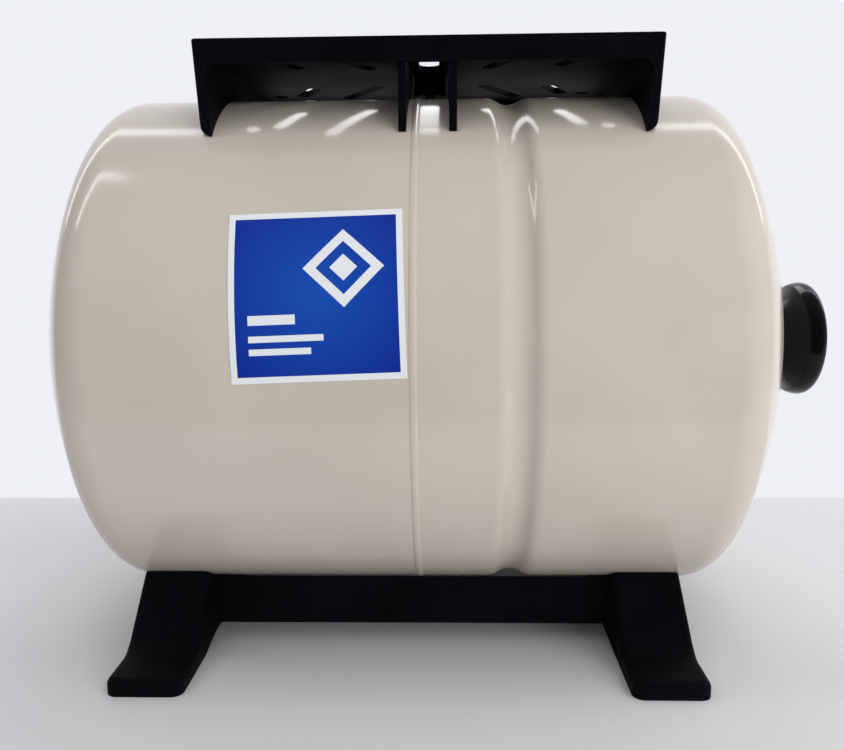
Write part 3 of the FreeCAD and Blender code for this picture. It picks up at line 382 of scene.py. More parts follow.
# %% Beige powder coat
def powder_coat():
    """Thick beige paint with orange peel over the faint waves of drawn sheet."""
    material, tree, shader = new_material("beige_powder_coat")
    place = add(tree, "ShaderNodeTexCoord").outputs["Object"]
    cloud = noise(tree, place, size=70, detail=2.0)
    sheet = bump(tree, noise(tree, place, size=45), strength=0.25, depth=0.35)
    peel = bump(tree, noise(tree, place, size=3.5), strength=0.12, depth=0.05, over=sheet)
    fill(tree, shader, {"Base Color": ramp(tree, cloud, (0.35, "#C3B9AC"), (0.65, "#C7BEB1")),
                        "Normal": peel, "Roughness": 0.14, "IOR": 1.5})
    return material


# %% [markdown]
# Bracket and base are moulded in black polypropylene from a mould with a fine spark-eroded grain.
# The grain swallows most of the room's reflection and leaves a soft sheen, and shallow flow clouds
# vary its gloss. The cap comes from a polished mould, so it is the same black with a clear, hard
# highlight. The shine sets how much of the room each of them reflects.

# %% Black moulded plastics
def moulded_plastic(name, dark, light, grain, depth, dull, bright, shine):
    """Black plastic; its grain, in millimetres, two roughnesses and shine set how it reflects."""
    material, tree, shader = new_material(name)
    place = add(tree, "ShaderNodeTexCoord").outputs["Object"]
    flow = noise(tree, place, size=40, detail=3.0)
    pits = noise(tree, place, size=grain, detail=2.0)
    fill(tree, shader, {"Base Color": ramp(tree, flow, (NOISE_LOW, dark), (NOISE_HIGH, light)),
                        "Roughness": gloss(tree, flow, dull, bright),
                        "Normal": bump(tree, pits, strength=0.5, depth=depth),
                        "IOR": 1.49, "Specular IOR Level": shine})
    return material


# %% [markdown]
# The metal parts were turned on a lathe or punched from strip. Turning leaves fine rings round the
# axis, which stretch a highlight across them. A noise that is squeezed along the axis and drawn
# out across it gives just such rings, finer than a millimetre, so here they are a little coarser
# than real ones to show at all.

# %% Turned and plated metals
ALONG_ONLY = (1.0, 0.05, 0.05)


def turned_metal(name, hex_code, ring, dull, bright):
    """Metal with turned rings of about ring millimetres and two roughnesses."""
    material, tree, shader = new_material(name)
    place = add(tree, "ShaderNodeTexCoord").outputs["Object"]
    drawn_out = add(tree, "ShaderNodeMapping", {"Vector": place, "Scale": ALONG_ONLY})
    rings = noise(tree, drawn_out.outputs["Vector"], size=ring, detail=2.0)
    fill(tree, shader, {"Base Color": colour(hex_code), "Metallic": 1.0,
                        "Roughness": gloss(tree, rings, dull, bright),
                        "Normal": bump(tree, rings, strength=0.3, depth=0.03)})
    return material


# %% [markdown]
# Rubber and the liner's natural polypropylene are never seen from outside, but the part can be
# taken apart, so they get their own finish: rubber is matt with a fine bloom, and the liner is
# milky, with light going a little way into it.

# %% Rubber and natural plastic
def soft_surface(name, hex_code, bloom_hex, grain, roughness, milky):
    """A matt surface with a bloom of about grain millimetres; milky is how far light goes in."""
    material, tree, shader = new_material(name)
    place = add(tree, "ShaderNodeTexCoord").outputs["Object"]
    bloom = noise(tree, place, size=grain, detail=3.0)
    fill(tree, shader, {"Base Color": ramp(tree, bloom, (0.0, hex_code), (1.0, bloom_hex)),
                        "Normal": bump(tree, bloom, strength=0.2, depth=0.05),
                        "Roughness": roughness, "Subsurface Weight": milky})
    return material


# %% [markdown]
# The label is printed vinyl. Its print is worked out from the label's own UV map, which runs from
# 0 to 1 across it: a pale border, a blue field that grows lighter towards its middle, an open
# diamond with a small full one inside it at the upper right, and three plain bars at the lower
# left. A shape is all that lies within a distance of its middle, so its outline stays sharp
# however near the camera is. All sizes of the print are millimetres of the label.

# %% Printed label
LABEL_SIZE = 82
BORDER = 3.0
DIAMOND = (54, 53)
DIAMOND_REACH = 19
OPENING_REACH = 13
CORE_REACH = 6.5
BAR_LEFT = 9
BARS = ((27, 31, 4.5), (19, 44, 3.0), (13, 38, 3.0))  # Foot, right end and height of each
FADE_START = 8.0
FADE_END = 50.0


def inside_bar(tree, along, up, left, right, foot, height):
    """1 inside an upright rectangle given in millimetres of the label, and 0 elsewhere."""
    sides = []
    for value, low, high in ((along, left, right), (up, foot, foot + height)):
        away = calc(tree, "ABSOLUTE", calc(tree, "SUBTRACT", value, (low + high) / 2))
        sides.append(calc(tree, "LESS_THAN", away, (high - low) / 2))
    return calc(tree, "MULTIPLY", *sides)


def inside_diamond(tree, along, up, reach):
    """1 inside a square that stands on its corner, and 0 elsewhere."""
    away = [calc(tree, "ABSOLUTE", calc(tree, "SUBTRACT", value, middle))
            for value, middle in zip((along, up), DIAMOND)]
    return calc(tree, "LESS_THAN", calc(tree, "ADD", *away), reach)


def printed_vinyl():
    """Pale print on a blue field with a pale border, on faintly rippled vinyl."""
    material, tree, shader = new_material("printed_vinyl")
    uv = add(tree, "ShaderNodeUVMap", uv_map="print").outputs["UV"]
    flat = add(tree, "ShaderNodeVectorMath", {0: uv, "Scale": LABEL_SIZE},
               operation="SCALE").outputs["Vector"]
    split = add(tree, "ShaderNodeSeparateXYZ", {"Vector": flat})
    along, up = split.outputs["X"], split.outputs["Y"]

    diamond, opening, core = (inside_diamond(tree, along, up, reach)
                              for reach in (DIAMOND_REACH, OPENING_REACH, CORE_REACH))
    pale = calc(tree, "MAXIMUM", calc(tree, "SUBTRACT", diamond, opening), core)
    for foot, right, height in BARS:
        bar = inside_bar(tree, along, up, BAR_LEFT, right, foot, height)
        pale = calc(tree, "MAXIMUM", pale, bar)
    field = inside_bar(tree, along, up, BORDER, LABEL_SIZE - BORDER, BORDER,
                       LABEL_SIZE - 2 * BORDER)
    blue = calc(tree, "SUBTRACT", field, pale)

    middle = (LABEL_SIZE / 2, LABEL_SIZE / 2, 0)
    spread = add(tree, "ShaderNodeVectorMath", {0: flat, 1: middle}, operation="DISTANCE")
    fade = add(tree, "ShaderNodeMapRange", {"Value": spread.outputs["Value"],
                                            "From Min": FADE_START, "From Max": FADE_END})
    ink = ramp(tree, fade.outputs["Result"], (0.0, "#0A48AC"), (1.0, "#022B92"))
    tone = add(tree, "ShaderNodeMix", {"Factor": blue, "A": colour("#E2E5E8"), "B": ink},
               data_type="RGBA")
    place = add(tree, "ShaderNodeTexCoord").outputs["Object"]
    ripple = noise(tree, place, size=12)
    fill(tree, shader, {"Base Color": tone.outputs["Result"], "Roughness": 0.22,
                        "Normal": bump(tree, ripple, strength=0.15, depth=0.08)})
    return material


# %% [markdown]
# Each material slot of the solid model has one finish. A piece takes the finish of its slot and
# the body that it moves with, in one call.

# %% The finishes by the name of their material slot
FINISH = {
    "vessel_enamel": powder_coat(),
    "moulded_plastic": moulded_plastic("black_polypropylene", "#06060A", "#0A0A10", grain=0.9,
                                       depth=0.05, dull=0.72, bright=0.62, shine=0.07),
    "cap_plastic": moulded_plastic("polished_black_plastic", "#040406", "#08080A", grain=2.5,
                                   depth=0.01, dull=0.22, bright=0.15, shine=0.22),
    "label_vinyl": printed_vinyl(),
    "liner_plastic": soft_surface("natural_polypropylene", "#D8D6CE", "#E4E2DA", grain=25,
                                  roughness=0.45, milky=0.2),
    "butyl": soft_surface("black_butyl_rubber", "#111112", "#1D1D1F", grain=1.5,
                          roughness=0.75, milky=0.0),
    "zinc_steel": turned_metal("zinc_plated_steel", "#C3C7CB", ring=0.8, dull=0.38, bright=0.26),
    "stainless": turned_metal("turned_stainless_steel", "#C9C6C0", ring=0.5, dull=0.34,
                              bright=0.2),
    "brass": turned_metal("turned_brass", "#D2A85A", ring=0.5, dull=0.3, bright=0.18),
}
print("finishes:", ", ".join(material.name for material in FINISH.values()))


def finish(piece, slot, body):
    """Gives a piece its material, its slot and the body it moves with."""
    piece.data.materials.clear()
    piece.data.materials.append(FINISH[slot])
    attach(piece, body)


# %% The two halves take the powder coat
finish(water_half, "vessel_enamel", "tank")
finish(air_half, "vessel_enamel", "tank")
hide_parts("water_shell")
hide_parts("air_shell")

# %% [markdown]
# A machine lays the weld bead while the vessel turns under the torch. Each pulse of the arc leaves
# a small scale, half over the one before it, and the paint softens them into a low ridge. That is
# one small form repeated round a circle, so a Geometry Nodes tree makes it: points on a circle, a
# flattened ball on each, with a little chance in its size.

# %% Weld bead of overlapping scales
SCALE_SPACING = 1.2 * MM
SCALE_HALF_LENGTH = 2.2 * SCALE_SPACING
SMALLEST_SCALE = 0.97


def weld_tree():
    """Flattened balls at a spacing on a circle about the X axis."""
    tree, given = new_tree("weld_scales", {
        "Radius": "Float", "Spacing": "Float", "Scale size": "Vector", "Seed": "Int",
        "Place": "Vector", "Material": "Material"})
    circle = add(tree, "GeometryNodeCurvePrimitiveCircle", {"Resolution": 128,
                                                            "Radius": given["Radius"]})
    points = add(tree, "GeometryNodeCurveToPoints", {"Curve": circle.outputs["Curve"],
                                                     "Length": given["Spacing"]}, mode="LENGTH")
    scale = add(tree, "GeometryNodeMeshIcoSphere", {"Radius": 1.0, "Subdivisions": 2})
    chance = add(tree, "FunctionNodeRandomValue", {2: SMALLEST_SCALE, 3: 1.0,
                                                   "Seed": given["Seed"]})
    size = add(tree, "ShaderNodeVectorMath", {0: given["Scale size"], "Scale": chance.outputs[1]},
               operation="SCALE")
    laid = add(tree, "GeometryNodeInstanceOnPoints", {
        "Points": points.outputs["Points"], "Instance": scale.outputs["Mesh"],
        "Rotation": points.outputs["Rotation"], "Scale": size.outputs["Vector"]})
    upright = add(tree, "GeometryNodeTransform", {
        "Geometry": laid.outputs["Instances"], "Translation": given["Place"],
        "Rotation": (0, math.pi / 2, 0)})
    real = add(tree, "GeometryNodeRealizeInstances", {"Geometry": upright.outputs["Geometry"]})
    painted = add(tree, "GeometryNodeSetMaterial", {"Geometry": real.outputs["Geometry"],
                                                    "Material": given["Material"]})
    add(tree, "NodeGroupOutput", {"Geometry": painted.outputs["Geometry"]})
    return tree


weld_bead = grow("weld_bead", weld_tree(), {
    "Radius": TANK_RADIUS,
    "Spacing": SCALE_SPACING,
    "Scale size": (BEAD_HEIGHT, BEAD_HALF, SCALE_HALF_LENGTH),
    "Seed": 7,
    "Place": (WELD_X, 0, AXIS_Z),
    "Material": FINISH["vessel_enamel"],
})
finish(weld_bead, "vessel_enamel", "tank")
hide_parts("water_shell")

# %% [markdown]
# The cap is a mushroom of hard black plastic that a hand can grip to unscrew it. It is a turned
# form as well, so it has the same lathe: a straight neck, a flare that opens to a wide rim, and a
# low dome. Its inside is bored in two steps, for the boss and for the tip of the valve.

# %% Mushroom cap over the air valve
cap_low, cap_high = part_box("air_cap")
CAP_LIP = cap_low.x - VALVE_SEAT
CAP_HEIGHT = cap_high.x - VALVE_SEAT
CAP_RIM_RADIUS = (cap_high.z - cap_low.z) / 2
NECK_RADIUS = 19 * MM
NECK_TOP = 7 * MM
FLARE = (22.5 * MM, 33 * MM)
FLARE_BEND = 24 * MM
RIM_PLACE = 28.5 * MM
EDGE = (34 * MM, 31 * MM)
SOCKET_RADIUS = 15.4 * MM
SOCKET_DEPTH = 13.5 * MM
WELL_RADIUS = 9 * MM
WELL_DEPTH = 29 * MM


def bend_centre(start, end, radius):
    """Centre of an arc of that radius, on the side away from the axis."""
    middle = Vector(((start[0] + end[0]) / 2, (start[1] + end[1]) / 2))
    chord = Vector(end) - Vector(start)
    sag = math.sqrt(radius ** 2 - (chord.length / 2) ** 2)
    return tuple(middle + Vector((-chord.y, chord.x)).normalized() * sag)


def rounded_to_rim(start):
    """Centre of the arc that meets the rim at a right angle to its radius and passes start."""
    run = abs(start[0] - RIM_PLACE)
    fall = CAP_RIM_RADIUS - start[1]
    return (RIM_PLACE, CAP_RIM_RADIUS - (run ** 2 + fall ** 2) / (2 * fall))


neck_end = (NECK_TOP, NECK_RADIUS)
rim = (RIM_PLACE, CAP_RIM_RADIUS)
rise = CAP_HEIGHT - EDGE[0]
dome_radius = (EDGE[1] ** 2 + rise ** 2) / (2 * rise)
cap_outline = [
    (CAP_LIP, SOCKET_RADIUS), (CAP_LIP, NECK_RADIUS), neck_end,
    *arc(bend_centre(neck_end, FLARE, FLARE_BEND), neck_end, FLARE, steps=16),
    *arc(rounded_to_rim(FLARE), FLARE, rim, steps=8),
    *arc(rounded_to_rim(EDGE), rim, EDGE, steps=10),
    *arc((CAP_HEIGHT - dome_radius, 0), EDGE, (CAP_HEIGHT, 0), steps=12)[:-1],
    (CAP_HEIGHT, 0), (WELL_DEPTH, 0), (WELL_DEPTH, WELL_RADIUS), (SOCKET_DEPTH, WELL_RADIUS),
    (SOCKET_DEPTH, SOCKET_RADIUS),
]
cap = lathe("mushroom_cap", [cap_outline], segments=128, origin_x=VALVE_SEAT)
finish(cap, "cap_plastic", "cap")
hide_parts("air_cap")

# %% [markdown]
# The water connection is a threaded nipple. Its plain core is turned, with a flange inside the
# vessel, and the thread is a ridge that climbs round it. A thread follows a path, so Geometry
# Nodes make it from a spiral curve and a small six-cornered outline. The ridge is laid on and
# nothing is cut, so the core is as thin as the bottom of the thread and the ridge reaches the real
# outside radius. A narrow groove is turned in front of the nut, where a thread's cutting tool runs
# out.

# %% Threaded nipple
def thread_tree():
    """A ridge that climbs round a spiral, moved to its start and turned to its axis."""
    tree, given = new_tree("thread_ridge", {
        "Radius": "Float", "Pitch": "Float", "Turns": "Float", "Ridge": "Float",
        "Start": "Vector", "Turn": "Vector", "Material": "Material"})
    height = calc(tree, "MULTIPLY", given["Pitch"], given["Turns"])
    spiral = add(tree, "GeometryNodeCurveSpiral", {
        "Resolution": 48, "Rotations": given["Turns"], "Start Radius": given["Radius"],
        "End Radius": given["Radius"], "Height": height})
    outline = add(tree, "GeometryNodeCurvePrimitiveCircle", {"Resolution": 6,
                                                             "Radius": given["Ridge"]})
    ridge = add(tree, "GeometryNodeCurveToMesh", {
        "Curve": spiral.outputs["Curve"], "Profile Curve": outline.outputs["Curve"],
        "Fill Caps": True})
    placed = add(tree, "GeometryNodeTransform", {
        "Geometry": ridge.outputs["Mesh"], "Translation": given["Start"],
        "Rotation": given["Turn"]})
    real = add(tree, "GeometryNodeRealizeInstances", {"Geometry": placed.outputs["Geometry"]})
    plated = add(tree, "GeometryNodeSetMaterial", {"Geometry": real.outputs["Geometry"],
                                                   "Material": given["Material"]})
    add(tree, "NodeGroupOutput", {"Geometry": plated.outputs["Geometry"]})
    return tree


port_low, port_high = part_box("water_connection")
nut_low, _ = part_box("connection_nut")
THREAD_PITCH = 2.31 * MM
THREAD_RADIUS = 16.6 * MM
RIDGE = 0.85 * MM
CORE_RADIUS = THREAD_RADIUS - RIDGE
PORT_BORE = 12 * MM
FLANGE_RADIUS = (port_high.z - port_low.z) / 2
FLANGE_WALL = 3 * MM
TAIL = 4 * MM
CHAMFER = 1 * MM
RELIEF_GAP = 0.5 * MM
RELIEF_WIDTH = 1.5 * MM
RELIEF_DEPTH = 1.3 * MM
tip = MIDDLE_X - port_low.x
tail_end = MIDDLE_X - port_high.x
flange = tail_end + TAIL
relief = MIDDLE_X - nut_low.x + RELIEF_GAP
thread_start = relief + RELIEF_WIDTH
nipple = lathe("threaded_nipple", [[
    (tail_end, PORT_BORE), (tail_end, THREAD_RADIUS), (flange, THREAD_RADIUS),
    (flange, FLANGE_RADIUS), (flange + FLANGE_WALL, FLANGE_RADIUS),
    (flange + FLANGE_WALL, THREAD_RADIUS),
    (relief, THREAD_RADIUS), (relief, THREAD_RADIUS - RELIEF_DEPTH),
    (thread_start, THREAD_RADIUS - RELIEF_DEPTH), (thread_start, CORE_RADIUS),
    (tip - CHAMFER, CORE_RADIUS), (tip, CORE_RADIUS - CHAMFER), (tip, PORT_BORE),
]], facing=-1, segments=96)
free_length = tip - thread_start
nipple_thread = grow("nipple_thread", thread_tree(), {
    "Radius": CORE_RADIUS, "Pitch": THREAD_PITCH, "Ridge": RIDGE,
    "Turns": (free_length - CHAMFER - 2 * RIDGE) / THREAD_PITCH,
    "Start": (MIDDLE_X - thread_start - RIDGE, 0, AXIS_Z), "Turn": (0, -math.pi / 2, 0),
    "Material": FINISH["stainless"],
})
for piece in (nipple, nipple_thread):
    finish(piece, "stainless", "tank")
    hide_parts("water_connection")

# %% [markdown]
# The label is a thin sheet stuck on the round wall, a little crooked, as the photograph shows it.
# It is drawn flat first, as a grid of points in millimetres, and each point is then wrapped round
# the vessel: its way along stays a length, and its way up becomes an angle. Its UV map keeps the
# flat drawing, which the print needs. The sheet is drawn at its outside and thickened inward, a
# little less than its whole wall, so that it stays clear of the vessel.

# %% Label wrapped round the vessel
LABEL_PLACE = -43 * MM
LABEL_ELEVATION = math.radians(15.2)
LABEL_TILT = math.radians(1.9)
LABEL_WALL = 0.3 * MM
LABEL_STEPS = 32
SHEET_SHARE = 0.8


def make_label():
    """The square label, with its UV map and its thickness."""
    side = LABEL_SIZE * MM
    form = bmesh.new()
    print_map = form.loops.layers.uv.new("print")
    grid = []
    for row in range(LABEL_STEPS + 1):
        line = []
        for column in range(LABEL_STEPS + 1):
            u, v = column / LABEL_STEPS, row / LABEL_STEPS
            flat_x, flat_y = (u - 0.5) * side, (v - 0.5) * side
            along = flat_x * math.cos(LABEL_TILT) - flat_y * math.sin(LABEL_TILT)
            up = flat_x * math.sin(LABEL_TILT) + flat_y * math.cos(LABEL_TILT)
            angle = LABEL_ELEVATION + up / TANK_RADIUS
            radius = TANK_RADIUS + LABEL_WALL
            line.append((form.verts.new((MIDDLE_X + LABEL_PLACE + along, -radius * math.cos(angle),
                                         AXIS_Z + radius * math.sin(angle))), (u, v)))
        grid.append(line)
    for row in range(LABEL_STEPS):
        for column in range(LABEL_STEPS):
            corners = [grid[row][column], grid[row][column + 1], grid[row + 1][column + 1],
                       grid[row + 1][column]]
            face = form.faces.new([vertex for vertex, _ in corners])
            for loop, (_, uv) in zip(face.loops, corners):
                loop[print_map].uv = uv
    mesh = bpy.data.meshes.new("square_label")
    form.to_mesh(mesh)
    form.free()
    label = new_object("square_label", mesh)
    wall = label.modifiers.new("wall", "SOLIDIFY")
    wall.thickness = LABEL_WALL * SHEET_SHARE
    bake(label)
    smooth(label)
    return label


label = make_label()
finish(label, "label_vinyl", "tank")
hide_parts("tank_label")
print("label:", len(label.data.polygons), "faces")

# %% [markdown]
# Bracket and base have their form in the frame, but for two things that the photograph shows. The
# bracket's end walls lean in at the bottom, and their inner faces lean too, so that the walls are
# as thick at their tips as at the deck. The outer corner of each tip is round, which a few
# slanting cuts make. And the feet of the base are a little narrower than in the model, on their
# inner side.

# %% Shape of the end walls and of the feet
CUT_SLACK = 1e-7
END_WALL = 5 * MM
DECK_WALL = 4 * MM
BAY_ROUND = 5 * MM
TIP_LEAN = 4 * MM
FACE_SLACK = 0.1 * MM
END_DRAFT = math.radians(3.6)
TIP_ROUND = 7 * MM
TIP_CUTS = (12, 28, 44, 60, 76)
FOOT_LENGTH = 44.4 * MM
FOOT_TRIM = 4.6 * MM
FACE_EDGE = 2 * MM
FOOT_EDGE = 12 * MM
TOE_SIDE = 50 * MM
WEB_TOP = 12 * MM
WEB_SIDE = 88 * MM
WEB_SHARE = 0.15


def narrow_feet(form):
    """Moves the feet's inner faces outward, their lower edge between the toes only a little."""
    low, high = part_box("base_stand")
    middle = (low.x + high.x) / 2
    inner_face = (high.x - low.x) / 2 - FOOT_LENGTH
    moved = 0
    for vertex in form.verts:
        away = vertex.co.x - middle
        past = abs(away) - inner_face
        side = abs(vertex.co.y)
        # At the toes their rounds and hollows move with the face, and elsewhere only its rim does
        if -FACE_SLACK < past < (FOOT_EDGE if side > TOE_SIDE else FACE_EDGE):
            web = vertex.co.z - low.z < WEB_TOP and side < WEB_SIDE
            vertex.co.x += math.copysign(FOOT_TRIM * (WEB_SHARE if web else 1), away)
            moved += 1
    print("points moved on the feet:", moved)


def shape_end_walls(form):
    """Moves the end walls' inner faces inward, the more the lower, and rounds their outer tips."""
    low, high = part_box("pump_bracket")
    middle = (low.x + high.x) / 2
    inner_face = (high.x - low.x) / 2 - END_WALL
    underside = high.z - DECK_WALL
    for vertex in form.verts:
        away = vertex.co.x - middle
        past = abs(away) - inner_face
        if -BAY_ROUND < past < FACE_SLACK and vertex.co.z < underside:
            share = min(1, 1 + past / BAY_ROUND)
            drop = (underside - vertex.co.z) / (underside - low.z)
            vertex.co.x -= math.copysign(TIP_LEAN * share * drop, away)

    foot = (high.x - low.x) / 2 - (high.z - low.z) * math.tan(END_DRAFT)
    centre = foot - TIP_ROUND * (1 - math.sin(END_DRAFT)) / math.cos(END_DRAFT)
    for side in (1, -1):
        for turn in TIP_CUTS:
            way = Vector((side * math.cos(math.radians(turn)), 0, -math.sin(math.radians(turn))))
            place = Vector((middle + side * centre, 0, low.z + TIP_ROUND)) + TIP_ROUND * way
            bmesh.ops.bisect_plane(form, geom=[*form.verts, *form.edges, *form.faces],
                                   dist=CUT_SLACK, plane_co=place, plane_no=way, clear_outer=True)
            bmesh.ops.holes_fill(form, edges=[edge for edge in form.edges if edge.is_boundary])
    print("open edges of the bracket:", sum(edge.is_boundary for edge in form.edges))


# %% [markdown]
# What a solid model lacks is the small radius that every moulded or machined edge has, and it is
# that radius which catches the light. So bracket, base and nuts are copies of the model's meshes,
# with their loose triangles joined and their edges rounded by a fraction of a millimetre. Shading
# then follows the broad faces first, so that each stays flat right up to the narrow round at its
# edge.

# %% Rounded copies of the moulded and machined pieces
MOULDED_EDGE = 0.5 * MM
HEXAGON_EDGE = 0.4 * MM
SMALL_NUT_EDGE = 0.2 * MM
JOIN_DISTANCE = 0.005 * MM
FLAT_ANGLE = math.radians(0.5)
BEVEL_STEPS = 2


def rounded_copy(node, name, slot, edge, reshape=None):
    """A copy of a node, reshaped if asked, whose corners are rounded by edge, in metres."""
    mesh = frame["nodes"][node].data.copy()
    form = bmesh.new()
    form.from_mesh(mesh)
    bmesh.ops.remove_doubles(form, verts=form.verts, dist=JOIN_DISTANCE)
    if reshape:
        reshape(form)
    bmesh.ops.dissolve_limit(form, angle_limit=FLAT_ANGLE, verts=form.verts, edges=form.edges)
    form.to_mesh(mesh)
    form.free()
    mesh.name = name
    piece = new_object(name, mesh)
    bevel = piece.modifiers.new("edges", "BEVEL")
    bevel.width = edge
    bevel.segments = BEVEL_STEPS
    bevel.limit_method = "ANGLE"
    bevel.angle_limit = SHARP_ANGLE
    piece.data.shade_smooth()
    flatten = piece.modifiers.new("flat faces", "WEIGHTED_NORMAL")
    flatten.keep_sharp = True
    bake(piece)
    finish(piece, slot, "tank")
    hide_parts(node)
    print(f"{name}: {len(piece.data.polygons)} faces")


rounded_copy("pump_bracket", "bracket_moulding", "moulded_plastic", MOULDED_EDGE, shape_end_walls)
rounded_copy("base_stand", "base_moulding", "moulded_plastic", MOULDED_EDGE, narrow_feet)
rounded_copy("connection_nut", "connection_hexagon", "stainless", HEXAGON_EDGE)
rounded_copy("bracket_nut", "bracket_hexagon", "zinc_steel", SMALL_NUT_EDGE)
rounded_copy("base_nuts", "base_hexagons", "zinc_steel", SMALL_NUT_EDGE)

# %% [markdown]
# Pushing the pin of the air valve in shortens the coil spring behind it. The spring is a copy of
# the model's own mesh that moves with the tank.

# %% Spring of the valve core
spring = new_object("valve_coil_spring", frame["nodes"]["valve_core_spring"].data.copy())
finish(spring, "stainless", "tank")
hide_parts("valve_core_spring")
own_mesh(spring)

# %% [markdown]
# The pieces that stay as the model has them are small or hidden, and need only their finish. Each
# CAD node keeps its own object: only the material in its slot changes.

# %% Finish of the nodes that stay
replaced = {"water_shell", "air_shell", "air_cap", "water_connection", "tank_label",
            "pump_bracket", "base_stand", "connection_nut", "bracket_nut", "base_nuts",
            "valve_core_spring"}
for part in frame["record"]["subparts"]:
    if part["node"] in replaced:
        continue
    node = frame["nodes"][part["node"]]
    material = FINISH[part["material_slot"]]
    if not node.data.materials:
        node.data.materials.append(material)
    for place in range(len(node.data.materials)):
        node.data.materials[place] = material

# %% [markdown]
# The tank stands on a white table that ends a hand's breadth behind it, in front of a pale wall.
# The table is a plain sheet. The wall is the world's own colour as the camera or a clear piece
# sees it, so it can't throw a shadow or hide the object from another side. The glossy vessel
# mirrors more than that: a room that is dark in front, where the photographer stands, and bright
# behind, with one long tube lamp above. So a reflection gets its tone from the direction it looks
# in. The light that the world adds to matt surfaces has one even tone.

# %% Table and world
TABLE_BACK = 0.202
TABLE_FRONT = -0.38
TABLE_SIDE = 2.0
STRIP_PLACE = 0.43
STRIP_HALF = 0.04
STRIP_FOOT = 0.3
STRIP_GLOW = 6.0
ROOM_TONES = [(-1.0, "#404144"), (0.0, "#8C8E92"), (0.38, "#A6A8AC"), (0.5, "#F4F6FA"),
              (1.0, "#F4F6FA")]
WALL_TONE = "#EEF0F5"
FILL_TONE = "#E6E8EC"
FILL_LEVEL = 0.7


def make_table():
    """The table top, a plain sheet at floor level."""
    corners = [(-TABLE_SIDE, TABLE_FRONT, 0), (TABLE_SIDE, TABLE_FRONT, 0),
               (TABLE_SIDE, TABLE_BACK, 0), (-TABLE_SIDE, TABLE_BACK, 0)]
    mesh = bpy.data.meshes.new("table_top")
    mesh.from_pydata(corners, [], [(0, 1, 2, 3)])
    table = new_object("table_top", mesh)
    material, tree, shader = new_material("white_table")
    fill(tree, shader, {"Base Color": colour("#E0E0E2"), "Roughness": 0.55})
    mesh.materials.append(material)


def make_world():
    """A wall for the camera, a room for the reflections and an even light for the rest."""
    world = bpy.data.worlds.new("studio")
    bpy.context.scene.world = world
    world.use_nodes = True
    tree = world.node_tree
    tree.nodes.clear()
    wall = add(tree, "ShaderNodeBackground", {"Color": colour(WALL_TONE), "Strength": 1.0})
    even = add(tree, "ShaderNodeBackground", {"Color": colour(FILL_TONE), "Strength": FILL_LEVEL})

    way = add(tree, "ShaderNodeTexCoord").outputs["Generated"]
    split = add(tree, "ShaderNodeSeparateXYZ", {"Vector": way})
    behind = add(tree, "ShaderNodeMapRange", {"Value": split.outputs["Y"], "From Min": -1.0})
    stops = [((turn + 1) / 2, hex_code) for turn, hex_code in ROOM_TONES]
    tone = ramp(tree, behind.outputs["Result"], *stops)
    level = calc(tree, "COMPARE", split.outputs["Y"], STRIP_PLACE, STRIP_HALF)
    above = calc(tree, "GREATER_THAN", split.outputs["Z"], STRIP_FOOT)
    glow = calc(tree, "MULTIPLY_ADD", calc(tree, "MULTIPLY", level, above), STRIP_GLOW, 1.0)
    room = add(tree, "ShaderNodeBackground", {"Color": tone, "Strength": glow})

    ray = add(tree, "ShaderNodeLightPath").outputs
    seen = calc(tree, "MAXIMUM", ray["Is Camera Ray"], ray["Is Transmission Ray"])
    lit = add(tree, "ShaderNodeMixShader", {"Fac": seen, 1: even.outputs[0], 2: wall.outputs[0]})
    both = add(tree, "ShaderNodeMixShader", {"Fac": ray["Is Glossy Ray"], 1: lit.outputs[0],
                                             2: room.outputs[0]})
    add(tree, "ShaderNodeOutputWorld", {"Surface": both.outputs[0]})


make_table()
make_world()

# %% [markdown]
# Soft light comes from large panels, because a glossy vessel mirrors its lamps: a small lamp would
# be a hard dot on it, and a panel is a broad, calm highlight. One panel stands for a window behind
# the tank and a narrow one hangs on the left. Both are seen in the vessel. The other two, over the
# right end and in front of it, only brighten the surfaces: their own mirror image is left out.

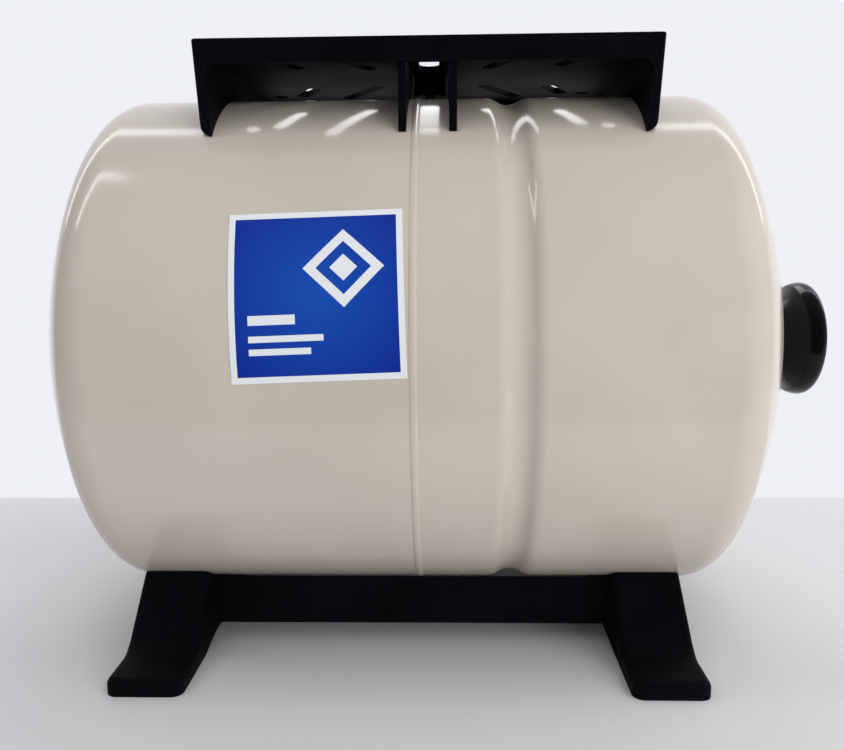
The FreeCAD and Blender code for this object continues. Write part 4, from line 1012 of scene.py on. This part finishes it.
# %% Studio lamps
def panel(name, place, target, width, height, watts, mirrored):
    """A soft lamp, in metres and watts; mirrored says whether glossy pieces reflect it."""
    lamp = bpy.data.lights.new(name, "AREA")
    lamp.shape = "RECTANGLE"
    lamp.size = width
    lamp.size_y = height
    lamp.energy = watts
    holder = new_object(name, lamp)
    holder.location = place
    holder.rotation_euler = (Vector(target) - Vector(place)).to_track_quat("-Z", "Y").to_euler()
    holder.visible_glossy = mirrored


tank_middle = (0, 0, AXIS_Z)
panel("window_panel", (-0.03, 0.85, 1.3), tank_middle, width=0.86, height=0.6, watts=5,
      mirrored=True)
panel("ceiling_panel", (0.9, -0.1, 1.4), tank_middle, width=1.2, height=0.8, watts=6,
      mirrored=False)
panel("front_panel", (1.1, -1.35, 0.3), tank_middle, width=1.2, height=0.7, watts=15.5,
      mirrored=False)
panel("left_panel", (-1.0, -0.25, 1.36), tank_middle, width=0.12, height=0.8, watts=2.0,
      mirrored=True)
print("lamps:", len(bpy.data.lights))

# %% [markdown]
# The camera is where the photographer stood: half a metre in front, a little above the axis of the
# vessel and looking slightly down, with the phone held a trace askew. Place, direction and focal
# length come from fitting the vessel, the bracket and the feet to the photograph.

# %% Camera
CAMERA_PLACE = (8.57 * MM, -525.67 * MM, 226.58 * MM)
CAMERA_YAW = math.radians(-1.58)
CAMERA_PITCH = math.radians(-8.91)
CAMERA_ROLL = math.radians(-0.47)
CAMERA_LENS = 35.58
SENSOR_WIDTH = 36
NEAR_LIMIT = 0.01


def make_camera():
    """The camera, from its place, its three angles and its lens."""
    forward = Vector((math.sin(CAMERA_YAW) * math.cos(CAMERA_PITCH),
                      math.cos(CAMERA_YAW) * math.cos(CAMERA_PITCH), math.sin(CAMERA_PITCH)))
    level = Vector((math.cos(CAMERA_YAW), -math.sin(CAMERA_YAW), 0))
    above = level.cross(forward)
    right = math.cos(CAMERA_ROLL) * level + math.sin(CAMERA_ROLL) * above
    up = math.cos(CAMERA_ROLL) * above - math.sin(CAMERA_ROLL) * level
    lens = bpy.data.cameras.new("camera")
    lens.lens = CAMERA_LENS
    lens.sensor_width = SENSOR_WIDTH
    lens.clip_start = NEAR_LIMIT
    camera = new_object("camera", lens)
    turn = Matrix((right, up, -forward)).transposed().to_4x4()
    camera.matrix_world = Matrix.Translation(CAMERA_PLACE) @ turn
    bpy.context.scene.camera = camera


make_camera()
bpy.context.scene.view_settings.view_transform = "Standard"
